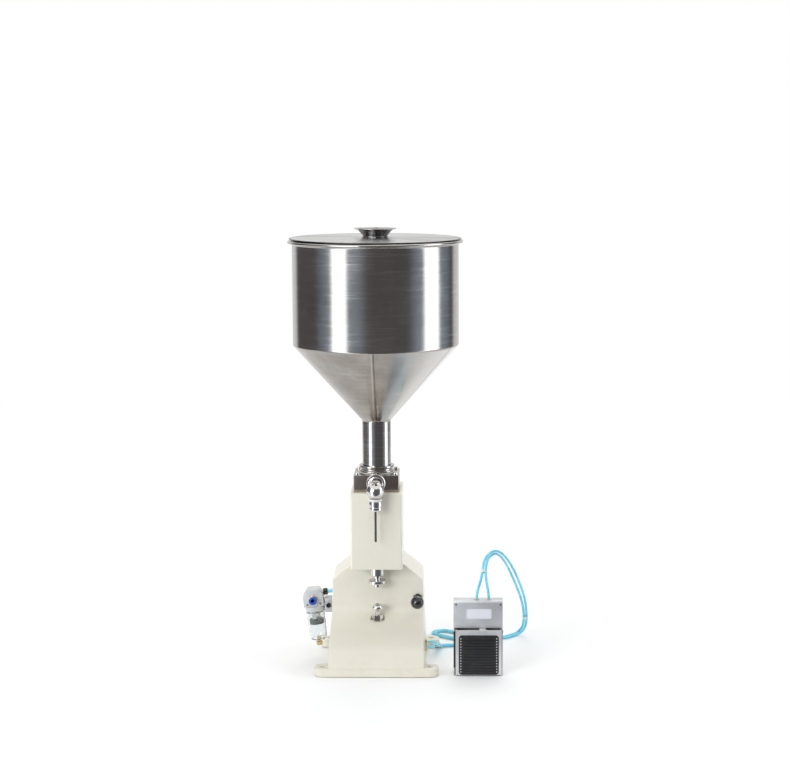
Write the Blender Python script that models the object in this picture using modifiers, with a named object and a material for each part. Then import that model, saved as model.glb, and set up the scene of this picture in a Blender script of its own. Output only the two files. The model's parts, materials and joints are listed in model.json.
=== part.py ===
"""Piston liquid filler: a ten-litre hopper on a pneumatic piston pump, with its air filter and foot valve.

Metres, +Z up. The origin is on the bench, under the hopper's axis; the front of the machine faces -Y.
"""

import math

import bmesh
import bpy
from mathutils import Matrix, Vector

# ---------------------------------------------------------------- driving dimensions
GAP = 0.0003                # clearance kept between neighbouring solids

# hopper, lid and knob, on the Z axis
HOPPER_R = 0.128
RIM_Z = 0.6645
BEAD_R = 0.0022
BEAD_AT = 0.1328
SHOULDER_Z = 0.504
CONE_Z = 0.386
NECK_R = 0.0225
FERRULE_R = 0.0275
FERRULE_TOP = 0.316
HOPPER_FOOT = 0.306
SHEET = 0.0015
LID_TILT = math.radians(0.45)
LID_R = 0.1322
LID_EDGE_R = 0.0010
LID_DOME = 0.0022

# valve block and pump, on the pump axis
PUMP_Y = -0.017
BLOCK_X, BLOCK_Y = 0.035, 0.033
BLOCK_TOP = 0.304
BLOCK_STEP = 0.2757
BLOCK_FOOT = 0.264
FOOT_X, FOOT_FRONT, FOOT_BACK = 0.0365, -0.0425, 0.034
INLET_R, CHAMBER_Z = 0.015, 0.290
CAGE_Y, CAGE_R = -0.006, 0.0075
SEAT_Z, SEAT_R = 0.284, 0.005
PORT_Y, PORT_Z = -0.024, 0.2935
PORT_R = 0.004
BORE_R, BARREL_R = 0.023, 0.0255
BARREL_LOW, BARREL_FLOOR, CYLINDER_LOW = 0.214, 0.2257, 0.1723
PISTON_H, GROOVE_LOW, GROOVE_HIGH = 0.010, 0.003, 0.007
AIR_PISTON_Z = 0.2023
ROD_R, SLIM_ROD_R = 0.011, 0.008
ROD_END, NECK_END = 0.1436, 0.1245

# tower cover
TOWER_X, TOWER_FRONT, TOWER_BACK = 0.040, -0.045, 0.060
TOWER_LOW, TOWER_TOP = 0.1583, 0.278
TOWER_WALL = 0.002
TOWER_CORNER = 0.003

# body casting
BODY_BACK = 0.096
BODY_TOP = 0.158
CAST_WALL = 0.004
FLANGE_H = 0.013
FLANGE_FRONT, FLANGE_REAR = -0.090, 0.113
WAIST_X, EAR_X = 0.077, 0.096
EAR_W = 0.032
EAR_R = 0.0155
EAR_HOLES = [(side * 0.082, y) for side in (-1, 1) for y in (-0.074, 0.097)]
EAR_HOLE_R = 0.0045
SEAT_OF_STOP = 0.071
STOP_R, STOP_HEAD_R = 0.004, 0.0085

# outlet, in front of the block
NOZZLE_Y = -0.062
BALL_BODY_Z, BALL_BODY_R = 0.2853, 0.01375
NEEDLE_LOW = 0.206

# selector lever
LEVER_X, LEVER_Y, LEVER_Z = 0.0625, -0.002, 0.103
LEVER_DROP = math.radians(2)
KNOB_R = 0.01035

# air filter, on its own tilted axis
FILTER_AT = (-0.1002, 0.030, 0.070)
FILTER_TILT = math.radians(-6.5)

# foot valve, standing on its toe
VALVE_X0, VALVE_X1 = 0.1188, 0.1943
VALVE_BACK, VALVE_PLATE = -0.046, 0.003
VALVE_WALL = 0.0015
VALVE_TOP = 0.1155
PEDAL_X0, PEDAL_X1 = 0.1220, 0.1924
PEDAL_FRONT = -0.0785
PIVOT_Y, PIVOT_Z = -0.070, 0.0675
SPOOL_X, SPOOL_Y = 0.1638, -0.0585
HOSE_X = (0.1545, 0.1731)
HOSE_Y = -0.060
PORTS_Y, PORTS_Z = 0.020, (0.0270, 0.0180)

# hoses
HOSE_D = 0.004
PAIR = 0.0046
HOSE_STEP = 0.0098
LEFT = None
# Each row: a point midway between the two hoses, the direction from it to hose A, and their spacing.
ROUTE = [
    ((0.1638, -0.0600, 0.1165), (-1, 0, 0), 0.0186),
    ((0.1638, -0.0600, 0.1200), (-1, 0, 0), 0.0185),
    ((0.1642, -0.0590, 0.1310), (-1, 0, 0), 0.0150),
    ((0.1650, -0.0550, 0.1425), (-1, 0.1, 0.1), 0.0092),
    ((0.1658, -0.0492, 0.1526), (-1, 0.3, 0.3), 0.0056),
    ((0.1667, -0.0425, 0.1598), (-0.8, 0.5, 0.4), PAIR),
    ((0.1685, -0.0325, 0.1678), (-0.6, 0.4, 0.6), PAIR),
    ((0.1728, -0.0195, 0.1738), (-0.4, 0.2, 0.85), PAIR),
    ((0.1815, -0.0040, 0.1762), (-0.1, 0.1, 0.95), PAIR),
    ((0.1900, 0.0110, 0.1722), (0.3, 0, 0.9), 0.0048),
    ((0.1979, 0.0270, 0.1620), (0.5, 0, 0.85), 0.0054),
    ((0.2060, 0.0445, 0.1470), (0.65, -0.1, 0.75), 0.0062),
    ((0.2140, 0.0630, 0.1283), (0.75, -0.1, 0.6), 0.0068),
    ((0.2213, 0.0810, 0.1083), (0.85, -0.1, 0.5), 0.0068),
    ((0.2278, 0.0980, 0.0883), (0.9, -0.2, 0.4), 0.0064),
    ((0.2327, 0.1140, 0.0693), (0.9, -0.2, 0.3), 0.0056),
    ((0.2357, 0.1300, 0.0495), (0.95, -0.2, 0.2), 0.0048),
    ((0.2367, 0.1445, 0.0315), (1, -0.2, 0.1), PAIR),
    ((0.2352, 0.1560, 0.0168), (1, -0.35, 0), PAIR),
    ((0.2305, 0.1622, 0.0075), (0.9, -0.5, 0), PAIR),
    ((0.2235, 0.1610, 0.0031), (0.75, -0.65, 0), PAIR),
    ((0.2155, 0.1527, 0.0024), LEFT, PAIR),
    ((0.2060, 0.1425, 0.0024), LEFT, PAIR),
    ((0.1940, 0.1350, 0.0024), LEFT, PAIR),
    ((0.1800, 0.1320, 0.0024), LEFT, PAIR),
    ((0.1660, 0.1358, 0.0024), LEFT, PAIR),
    ((0.1530, 0.1445, 0.0024), LEFT, PAIR),
    ((0.1400, 0.1550, 0.0024), LEFT, PAIR),
    ((0.1245, 0.1672, 0.0024), LEFT, PAIR),
    ((0.1107, 0.1780, 0.0024), LEFT, PAIR),
    ((0.0998, 0.1816, 0.0024), LEFT, PAIR),
    ((0.0896, 0.1763, 0.0024), LEFT, PAIR),
    ((0.0860, 0.1654, 0.0024), LEFT, PAIR),
    ((0.0913, 0.1552, 0.0024), LEFT, PAIR),
    ((0.1030, 0.1450, 0.0024), LEFT, PAIR),
    ((0.1170, 0.1332, 0.0024), LEFT, PAIR),
    ((0.1305, 0.1215, 0.0024), LEFT, PAIR),
    ((0.1367, 0.1092, 0.0024), LEFT, PAIR),
    ((0.1325, 0.0961, 0.0024), LEFT, PAIR),
    ((0.1188, 0.0898, 0.0024), LEFT, PAIR),
    ((0.1075, 0.0893, 0.0024), LEFT, PAIR),
    ((0.0995, 0.0850, 0.0034), LEFT, PAIR),
    ((0.0957, 0.0760, 0.0057), LEFT, PAIR),
    ((0.0940, 0.0660, 0.0085), LEFT, PAIR),
    ((0.0925, 0.0560, 0.0112), LEFT, PAIR),
    ((0.0910, 0.0460, 0.0140), (0.9, 0, 0.3), PAIR),
    ((0.0902, 0.0355, 0.0172), (0.7, 0, 0.6), 0.0052),
    ((0.0878, 0.0268, 0.0200), (0.3, -0.1, 0.85), 0.0068),
    ((0.0835, 0.0213, 0.0221), (0.05, -0.05, 0.98), 0.0086),
    ((0.0800, 0.0200, 0.0225), (0, 0, 1), 0.0090),
    ((0.0776, 0.0200, 0.0225), (0, 0, 1), 0.0090),
]

# ---------------------------------------------------------------- materials
CREAM = ("cream_paint", (0.72, 0.70, 0.62), 0.45, 0.0)
STEEL = ("brushed_steel", (0.62, 0.60, 0.57), 0.30, 1.0)
CHROME = ("chrome", (0.78, 0.78, 0.78), 0.10, 1.0)
ALLOY = ("aluminium", (0.62, 0.63, 0.64), 0.42, 1.0)
GREY_CAST = ("grey_casting", (0.62, 0.63, 0.63), 0.50, 0.0)
BRASS = ("brass", (0.66, 0.52, 0.28), 0.32, 1.0)
RUBBER = ("black_rubber", (0.02, 0.02, 0.022), 0.70, 0.0)
GLOSS = ("black_plastic", (0.012, 0.012, 0.014), 0.12, 0.0)
WHITE = ("white_plastic", (0.85, 0.85, 0.83), 0.40, 0.0)
BLUE = ("blue_tube", (0.10, 0.50, 0.80), 0.30, 0.0)
CLEAR = ("clear_bowl", (0.90, 0.92, 0.93), 0.08, 0.0)


def collection(name, hidden=False):
    made = bpy.data.collections.new(name)
    bpy.context.scene.collection.children.link(made)
    made.hide_render = hidden
    return made


def material(finish):
    name, colour, roughness, metallic = finish
    made = bpy.data.materials.get(name)
    if made is None:
        made = bpy.data.materials.new(name)
        made.use_nodes = True
        shader = made.node_tree.nodes["Principled BSDF"]
        shader.inputs["Base Color"].default_value = (*colour, 1.0)
        shader.inputs["Roughness"].default_value = roughness
        shader.inputs["Metallic"].default_value = metallic
        made.diffuse_color = (*colour, 1.0)
    return made


def place(name, mesh, finish, at=(0, 0, 0), turn=(0, 0, 0), parent=None):
    """Links a mesh as a visible part, or as a cutter where it has no finish."""
    obj = bpy.data.objects.new(name, mesh)
    obj.location = at
    obj.rotation_euler = turn
    obj.parent = parent
    if finish is None:
        TOOLS.objects.link(obj)
        obj.hide_render = True
        obj.display_type = "WIRE"
    else:
        PARTS.objects.link(obj)
        mesh.materials.append(material(finish))
    return obj


def mesh_from(bm, name, smooth=False):
    mesh = bpy.data.meshes.new(name)
    bm.to_mesh(mesh)
    bm.free()
    if smooth:
        mesh.shade_smooth()
        mesh.set_sharp_from_angle(angle=math.radians(35))
    return mesh


def block(name, low, high, finish=None, **placing):
    """A box between two corners."""
    low, high = Vector(low), Vector(high)
    bm = bmesh.new()
    grow = Matrix.Translation((low + high) / 2) @ Matrix.Diagonal((high - low).to_4d())
    bmesh.ops.create_cube(bm, size=1.0, matrix=grow)
    return place(name, mesh_from(bm, name), finish, **placing)


def rod(name, radius, start, end, finish=None, sides=20, **placing):
    """A round bar from start to end, which lie on one line parallel to an axis or aslant."""
    start, end = Vector(start), Vector(end)
    along = end - start
    bm = bmesh.new()
    facing = along.to_track_quat("Z", "Y").to_matrix().to_4x4()
    bmesh.ops.create_cone(
        bm, cap_ends=True, segments=sides, radius1=radius, radius2=radius, depth=along.length,
        matrix=Matrix.Translation((start + end) / 2) @ facing,
    )
    return place(name, mesh_from(bm, name, smooth=True), finish, **placing)


def globe(name, radius, centre, finish=None, around=14, **placing):
    bm = bmesh.new()
    bmesh.ops.create_uvsphere(bm, u_segments=around, v_segments=around // 2 + 1, radius=radius)
    bm.transform(Matrix.Translation(centre))
    return place(name, mesh_from(bm, name, smooth=True), finish, **placing)


def turned(name, profile, finish=None, steps=20, ring=False, **placing):
    """A turned shape, from its (radius, height) points; a ring's outline is closed, with its bore."""
    mesh = bpy.data.meshes.new(name)
    edges = [(i, i + 1) for i in range(len(profile) - 1)]
    if ring:
        edges.append((len(profile) - 1, 0))
    mesh.from_pydata([(r, 0, z) for r, z in profile], edges, [])
    obj = place(name, mesh, finish, **placing)
    screw = obj.modifiers.new("Turn", "SCREW")
    screw.axis = "Z"
    screw.angle = math.tau
    screw.steps = screw.render_steps = steps
    screw.use_merge_vertices = True
    screw.merge_threshold = 0.00001
    screw.use_smooth_shade = True
    return obj


def sleeve(name, outer, inner, low, high, finish=None, steps=20, **placing):
    """A plain tube between two heights."""
    profile = [(outer, high), (outer, low), (inner, low), (inner, high)]
    return turned(name, profile, finish, steps, ring=True, **placing)


def arc(centre_r, centre_z, radius, start, end, count):
    """Points of a circular arc in a profile or an outline, angles in degrees."""
    angles = [math.radians(start + (end - start) * i / count) for i in range(count + 1)]
    return [(centre_r + radius * math.cos(a), centre_z + radius * math.sin(a)) for a in angles]


def circle(x, y, radius, count=24):
    return arc(x, y, radius, 0, 360 - 360 / count, count - 1)


def rounded(x0, y0, x1, y1, radius, count=5):
    """A rectangle with round corners."""
    corners = [(x1, y1, 0), (x0, y1, 90), (x0, y0, 180), (x1, y0, 270)]
    points = []
    for x, y, start in corners:
        cx = x - radius if x == x1 else x + radius
        cy = y - radius if y == y1 else y + radius
        points += arc(cx, cy, radius, start, start + 90, count)
    return points


def prism(name, outlines, low, high, finish=None, along="Z", **placing):
    """A flat outline, with any others as holes in it, made solid between low and high along an axis."""
    curve = bpy.data.curves.new(name + "_outline", "CURVE")
    curve.dimensions = "2D"
    curve.fill_mode = "BOTH"
    curve.extrude = (high - low) / 2
    for outline in outlines:
        spline = curve.splines.new("POLY")
        spline.points.add(len(outline) - 1)
        for point, (x, y) in zip(spline.points, outline):
            point.co = (x, y, 0, 1)
        spline.use_cyclic_u = True
    guide = bpy.data.objects.new(curve.name, curve)
    bpy.context.scene.collection.objects.link(guide)
    graph = bpy.context.evaluated_depsgraph_get()
    mesh = bpy.data.meshes.new_from_object(guide.evaluated_get(graph))
    bpy.data.objects.remove(guide)
    bpy.data.curves.remove(curve)
    bm = bmesh.new()
    bm.from_mesh(mesh)
    bpy.data.meshes.remove(mesh)
    bmesh.ops.remove_doubles(bm, verts=bm.verts, dist=0.00001)
    middle = (low + high) / 2
    facing = {
        "Z": Matrix.Translation((0, 0, middle)),
        "Y": Matrix.Translation((0, middle, 0)) @ Matrix.Rotation(math.pi / 2, 4, "X"),
        "X": Matrix(((0, 0, 1, middle), (1, 0, 0, 0), (0, 1, 0, 0), (0, 0, 0, 1))),
    }[along]
    bm.transform(facing)
    bmesh.ops.recalc_face_normals(bm, faces=bm.faces)
    return place(name, mesh_from(bm, name, smooth=True), finish, **placing)


def combine(obj, operation, *others):
    for other in others:
        step = obj.modifiers.new(operation.title(), "BOOLEAN")
        step.operation = operation
        step.solver = "EXACT"
        step.object = other
    return obj


def cut(obj, *others):
    return combine(obj, "DIFFERENCE", *others)


def weld(obj, *others):
    return combine(obj, "UNION", *others)


def coil(name, at, radius, wire, low, high, turns, finish):
    """A compression spring on a vertical axis, between two heights of its wire's surface."""
    per_turn = 8
    count = int(turns * per_turn)
    rise = (high - low - 2 * wire) / count
    points = []
    for i in range(count + 1):
        angle = math.tau * i / per_turn
        points.append((radius * math.cos(angle), radius * math.sin(angle), low + wire + rise * i))
    return tube(name, points, wire, finish, resolution=1, at=at)


def tube(name, points, radius, finish, resolution=2, at=(0, 0, 0), parent=None):
    curve = bpy.data.curves.new(name, "CURVE")
    curve.dimensions = "3D"
    curve.bevel_depth = radius
    curve.bevel_resolution = resolution
    curve.use_fill_caps = True
    spline = curve.splines.new("POLY")
    spline.points.add(len(points) - 1)
    for point, co in zip(spline.points, points):
        point.co = (*co, 1)
    spline.use_smooth = True
    obj = bpy.data.objects.new(name, curve)
    obj.location = at
    obj.parent = parent
    curve.materials.append(material(finish))
    PARTS.objects.link(obj)
    return obj


def through(points, step):
    """A smooth curve through the given points, read off at even steps along its length."""
    points = [Vector(p) for p in points]
    ends = [2 * points[0] - points[1]] + points + [2 * points[-1] - points[-2]]
    fine = []
    for a, b, c, d in zip(ends, ends[1:], ends[2:], ends[3:]):
        for i in range(12):
            t = i / 12
            fine.append(0.5 * (2 * b + (c - a) * t + (2 * a - 5 * b + 4 * c - d) * t**2
                               + (3 * b - a - 3 * c + d) * t**3))
    fine.append(points[-1])
    lengths = [0.0]
    for a, b in zip(fine, fine[1:]):
        lengths.append(lengths[-1] + (b - a).length)
    count = round(lengths[-1] / step)
    evenly, k = [], 0
    for i in range(count + 1):
        want = lengths[-1] * i / count
        while k < len(fine) - 2 and lengths[k + 1] < want:
            k += 1
        part = (want - lengths[k]) / (lengths[k + 1] - lengths[k])
        evenly.append(fine[k].lerp(fine[k + 1], part))
    return evenly


def hose_route(sign):
    """One hose of the pair: the shared route, moved sideways by half the spacing."""
    middle = [Vector(row[0]) for row in ROUTE]
    points = []
    for i, (_, side, spacing) in enumerate(ROUTE):
        heading = (middle[min(i + 1, len(ROUTE) - 1)] - middle[max(i - 1, 0)]).normalized()
        side = Vector((-heading.y, heading.x, 0)) if side is LEFT else Vector(side)
        if 0 < i < len(ROUTE) - 1:
            side -= heading * side.dot(heading)
        points.append(middle[i] + side.normalized() * (sign * spacing / 2))
    return points


# ---------------------------------------------------------------- sub-parts
def hopper_and_lid():
    """Down the outside of the hopper to its ferrule and up the inside, then the domed lid and its cup."""
    cone_inner = NECK_R - SHEET
    band_r = 0.0255
    outside = [(BEAD_AT - 0.0015, RIM_Z - 0.0005)]
    outside += arc(BEAD_AT, RIM_Z - BEAD_R, BEAD_R, 75, -90, 4)
    outside += [
        (HOPPER_R + 0.0015, RIM_Z - 0.0050), (HOPPER_R, RIM_Z - 0.0062), (HOPPER_R, SHOULDER_Z), (NECK_R, CONE_Z), (NECK_R, FERRULE_TOP),
        (FERRULE_R, FERRULE_TOP), (FERRULE_R, FERRULE_TOP - 0.0025), (band_r, FERRULE_TOP - 0.0035),
        (band_r, HOPPER_FOOT + 0.003), (FERRULE_R, HOPPER_FOOT + 0.002), (FERRULE_R, HOPPER_FOOT),
    ]
    inside = [
        (cone_inner, HOPPER_FOOT), (cone_inner, CONE_Z + 0.0005),
        (HOPPER_R - SHEET, SHOULDER_Z + 0.0007), (HOPPER_R - SHEET, RIM_Z - 0.0055),
    ]
    turned("hopper", outside + inside, STEEL, steps=36, ring=True)
    sleeve("hopper_gasket", 0.027, 0.0152, BLOCK_TOP + GAP, HOPPER_FOOT - GAP, WHITE)

    # the lid sits a little askew, its right rear edge proud of the rim
    tilt_axis = Matrix.Rotation(math.radians(35), 3, "Z") @ Vector((1, 0, 0))
    lid_frame = bpy.data.objects.new("lid_frame", None)
    lid_frame.location = (0, 0, RIM_Z + GAP + LID_EDGE_R + LID_R * math.sin(LID_TILT))
    lid_frame.rotation_euler = Matrix.Rotation(LID_TILT, 3, tilt_axis).to_euler()
    PARTS.objects.link(lid_frame)
    top = [(0, LID_DOME), (0.045, 0.0020), (0.095, 0.0013), (0.122, 0.0009)]
    edge = arc(LID_R - LID_EDGE_R, 0, LID_EDGE_R, 80, -80, 4)
    under = [(0.122, -0.0003), (0.095, 0.0001), (0.045, 0.0008), (0, 0.0010)]
    turned("lid", top + edge + under, STEEL, steps=24, parent=lid_frame)
    foot, lip = LID_DOME + GAP, 0.0158
    cup = [
        (0.0325, lip), (0.0325, lip - 0.0010), (0.0270, lip - 0.0018), (0.0185, foot + SHEET), (0.0185, foot),
        (0.0040, foot), (0.0040, foot + SHEET), (0.0170, foot + SHEET), (0.0262, lip),
    ]
    turned("lid_knob", cup, STEEL, ring=True, parent=lid_frame)


def valve_block():
    """The manifold with its inlet ball valve under the hopper; its foot is wider, under the cover."""
    top_corner = (BLOCK_X, BLOCK_Y, BLOCK_TOP)
    body = block("valve_block", (-BLOCK_X, -BLOCK_Y, BLOCK_STEP - 0.001), top_corner, STEEL)
    foot = block("block_foot", (-FOOT_X, FOOT_FRONT, BLOCK_FOOT), (FOOT_X, FOOT_BACK, BLOCK_STEP))
    weld(body, foot)
    inlet = rod("inlet_chamber", INLET_R, (0, 0, CHAMBER_Z), (0, 0, BLOCK_TOP + 0.002))
    seat = rod("inlet_seat", SEAT_R, (0, CAGE_Y, SEAT_Z - 0.002), (0, CAGE_Y, CHAMBER_Z + 0.002))
    cage = rod("inlet_cage", CAGE_R, (0, CAGE_Y, BLOCK_FOOT - 0.002), (0, CAGE_Y, SEAT_Z))
    riser = rod("outlet_riser", PORT_R, (0, PORT_Y, BLOCK_FOOT - 0.002), (0, PORT_Y, PORT_Z))
    port = rod("outlet_port", 0.0055, (0, -BLOCK_Y - 0.002, PORT_Z), (0, PORT_Y + 0.002, PORT_Z))
    cut(body, inlet, seat, cage, riser, port)

    ball_z = SEAT_Z - 0.0037
    globe("inlet_ball", 0.006, (0, 0, 0), STEEL, at=(0, CAGE_Y, ball_z))
    at, retainer = (0, CAGE_Y, 0), BLOCK_FOOT + 0.0002
    sleeve("inlet_retainer", CAGE_R - GAP, 0.0045, retainer, retainer + 0.0018, STEEL, at=at)
    coil("inlet_spring", at, 0.0052, 0.0004, retainer + 0.0021, ball_z - 0.0035, 4, STEEL)


def pump():
    """Product barrel over air cylinder, and the rod with both pistons at the top of the stroke."""
    at = (0, PUMP_Y, 0)
    low, floor, top = BARREL_LOW, BARREL_FLOOR, BLOCK_FOOT - GAP
    barrel = [
        (BARREL_R, top), (BARREL_R, low), (SLIM_ROD_R + GAP, low), (SLIM_ROD_R + GAP, floor),
        (BORE_R, floor), (BORE_R, top),
    ]
    turned("pump_barrel", barrel, STEEL, ring=True, at=at)
    sleeve("air_cylinder", BARREL_R, BORE_R, CYLINDER_LOW, low - GAP, ALLOY, at=at)
    plate = rounded(-0.0362, -0.0422, 0.0362, 0.030, 0.004)
    prism("cylinder_head", [plate, circle(0, PUMP_Y, ROD_R + GAP)], 0.1590, CYLINDER_LOW - GAP, ALLOY)

    crown = BLOCK_FOOT - 0.0006
    bars = [
        (0, crown - 0.0012), (0.005, crown - 0.0012), (0.005, crown - PISTON_H - GAP),
        (SLIM_ROD_R, crown - PISTON_H - GAP), (SLIM_ROD_R, AIR_PISTON_Z - GAP), (ROD_R, AIR_PISTON_Z - GAP),
        (ROD_R, ROD_END),
        (0.0045, ROD_END), (0.0045, NECK_END), (0, NECK_END),
    ]
    turned("piston_rod", bars, CHROME, at=at)
    outer, groove_r = BORE_R - 0.0004, BORE_R - 0.0034
    for name, base, bore in (
        ("pump_piston", crown - PISTON_H, 0.0053), ("air_piston", AIR_PISTON_Z, SLIM_ROD_R + GAP),
    ):
        groove, lip = base + GROOVE_LOW, base + GROOVE_HIGH
        profile = [
            (outer, base + PISTON_H), (outer, lip), (groove_r, lip), (groove_r, groove), (outer, groove),
            (outer, base), (bore, base), (bore, base + PISTON_H),
        ]
        turned(name, profile, ALLOY, ring=True, at=at)
        sleeve(name + "_seal", BORE_R - 0.0002, groove_r + GAP, groove + GAP, lip - GAP, RUBBER, at=at)
    disc = [
        (0.0120, 0.1362), (0.0140, 0.1350), (0.0140, 0.1318), (0.0130, 0.1308),
        (0.0048, 0.1308), (0.0048, 0.1362),
    ]
    turned("stop_disc", disc, CHROME, ring=True, at=at)


def stop_screw():
    """The domed screw that ends the stroke, with its jam nut and the washer that holds it in the casting."""
    at = (0, PUMP_Y, 0)
    brim, under, shoulder, tip = 0.0915, 0.0900, 0.0295, 0.0253
    dome = [(r, brim + (z - brim) * 0.76) for r, z in arc(0, brim, STOP_HEAD_R, 90, 10, 5)]
    profile = dome + [
        (STOP_HEAD_R, brim), (0.0078, under), (STOP_R, under), (STOP_R, shoulder), (0.0025, shoulder),
        (0.0025, tip), (0, tip),
    ]
    turned("stop_screw", profile, CHROME, at=at)
    sleeve("stop_washer", 0.0075, 0.0028, 0.0270, shoulder - GAP, STEEL, at=at)
    hexagon = circle(0, PUMP_Y, 0.0085, 6)
    prism("jam_nut", [hexagon, circle(0, PUMP_Y, STOP_R + GAP)], SEAT_OF_STOP + GAP, 0.0800, STEEL)


def tower():
    """The thin square cover round the pump, open below, with the valve block through its top."""
    outer = rounded(-TOWER_X, TOWER_FRONT, TOWER_X, TOWER_BACK, TOWER_CORNER, 3)
    cover = prism("tower_cover", [outer], TOWER_LOW, TOWER_TOP, CREAM)
    inside = block(
        "tower_hollow", (TOWER_WALL - TOWER_X, TOWER_FRONT + TOWER_WALL, TOWER_LOW - 0.01),
        (TOWER_X - TOWER_WALL, TOWER_BACK - TOWER_WALL, TOWER_TOP - TOWER_WALL),
    )
    mouth = block(
        "tower_mouth", (-BLOCK_X - GAP, -BLOCK_Y - GAP, TOWER_TOP - 0.01),
        (BLOCK_X + GAP, BLOCK_Y + GAP, TOWER_TOP + 0.01),
    )
    cut(cover, inside, mouth)


def body_shape(name, inset, finish=None):
    """The body's outer form, or the same form smaller by a wall and open at the bottom and the back."""
    deep = inset > 0
    low = -0.002 if deep else 0.0
    back = BODY_BACK + (inset if deep else 0)
    side = [
        (-0.089 + 1.1 * inset, low), (-0.089 + 1.1 * inset, FLANGE_H - 0.25 * inset),
        (-0.075 + 0.9 * inset, 0.040 - 0.6 * inset), (inset, 0.083 - 0.55 * inset), (inset, BODY_TOP - inset),
        (back, BODY_TOP - inset), (back, low),
    ]
    front = []
    for sign in (-1, 1):
        half = [(sign * (0.074 - inset), low), (sign * (0.071 - inset), 0.133 - 0.4 * inset),
                (sign * (0.040 - 0.4 * inset), BODY_TOP + (0.001 if not deep else -inset))]
        front += half if sign < 0 else half[::-1]
    long_way = prism(name, [side], -0.1, 0.1, finish, along="X")
    wide_way = prism(name + "_front", [front], -0.12, 0.12, along="Y")
    combine(long_way, "INTERSECT", wide_way)
    return long_way


def flange_outline():
    """A waisted plate with a round-ended ear at each corner."""
    points = []
    turns = [(1, FLANGE_FRONT, 1), (1, FLANGE_REAR, -1), (-1, FLANGE_REAR, -1), (-1, FLANGE_FRONT, 1)]
    for side, edge, inward in turns:
        centre = (side * (EAR_X - EAR_R), edge + inward * EAR_R)
        sweep = (-90, 90) if side > 0 else (90, 270)
        ear = arc(*centre, EAR_R, *sweep, 10)
        root = (side * WAIST_X, edge + inward * EAR_W)
        points += ear + [root] if (inward > 0) == (side > 0) else [root] + ear
    return points


def casting():
    """The body with its flange, its bottom plate and rear cover, and the hose ports in its side."""
    body = body_shape("body_casting", 0.0, CREAM)
    hollow = body_shape("body_hollow", CAST_WALL)
    boss = rod("stop_boss", 0.015, (0, PUMP_Y, 0.050), (0, PUMP_Y, 0.100))
    cut(hollow, boss)
    flange = prism("base_flange", [flange_outline()], 0.0, FLANGE_H)
    pad = rod("stop_pad", 0.011, (0, PUMP_Y, 0.060), (0, PUMP_Y, SEAT_OF_STOP))
    weld(body, flange)
    cut(body, hollow)
    weld(body, pad)
    cut(
        body,
        rod("stop_spotface", 0.0113, (0, PUMP_Y, SEAT_OF_STOP), (0, PUMP_Y, 0.110)),
        rod("stop_thread", STOP_R + GAP, (0, PUMP_Y, 0.040), (0, PUMP_Y, 0.080), sides=24),
        rod("lever_hole", 0.0043, (LEVER_X, -0.002, LEVER_Z), (LEVER_X, 0.010, LEVER_Z), sides=24),
    )
    for i, (x, y) in enumerate(EAR_HOLES):
        cut(body, rod(f"ear_hole_{i}", EAR_HOLE_R, (x, y, -0.002), (x, y, FLANGE_H + 0.002), sides=20))
    for i, z in enumerate(PORTS_Z):
        cut(body, rod(f"hose_hole_{i}", 0.0033, (0.062, PORTS_Y, z), (0.080, PORTS_Y, z), sides=16))
    cut(body, rod("filter_hole", 0.0034, (0.022, 0, 0.034), (0.046, 0, 0.034), sides=16, parent=FILTER_FRAME))

    x = 0.074 - CAST_WALL - 0.0006
    block("bottom_plate", (-x, -0.0840, 0), (x, BODY_BACK + CAST_WALL - 0.0005, 0.0025), STEEL)
    cover = [
        (-0.0730, FLANGE_H + 0.0006), (0.0730, FLANGE_H + 0.0006), (0.0704, 0.1326), (0.0396, BODY_TOP - 0.0006),
        (-0.0396, BODY_TOP - 0.0006), (-0.0704, 0.1326),
    ]
    prism("rear_cover", [cover], BODY_BACK + GAP, BODY_BACK + 0.0023, CREAM, along="Y")

    low, high = (0.0741, PORTS_Y - 0.0065, FLANGE_H + 0.0004), (0.0768, PORTS_Y + 0.0065, 0.0318)
    ports = block("hose_ports", low, high, BRASS)
    for i, z in enumerate(PORTS_Z):
        shank = rod(f"port_shank_{i}", 0.0030, (0.0660, PORTS_Y, z), (0.0750, PORTS_Y, z), sides=16)
        collar = rod(f"port_collar_{i}", 0.0036, (0.0760, PORTS_Y, z), (0.0772, PORTS_Y, z), sides=20)
        weld(ports, shank, collar)


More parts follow.
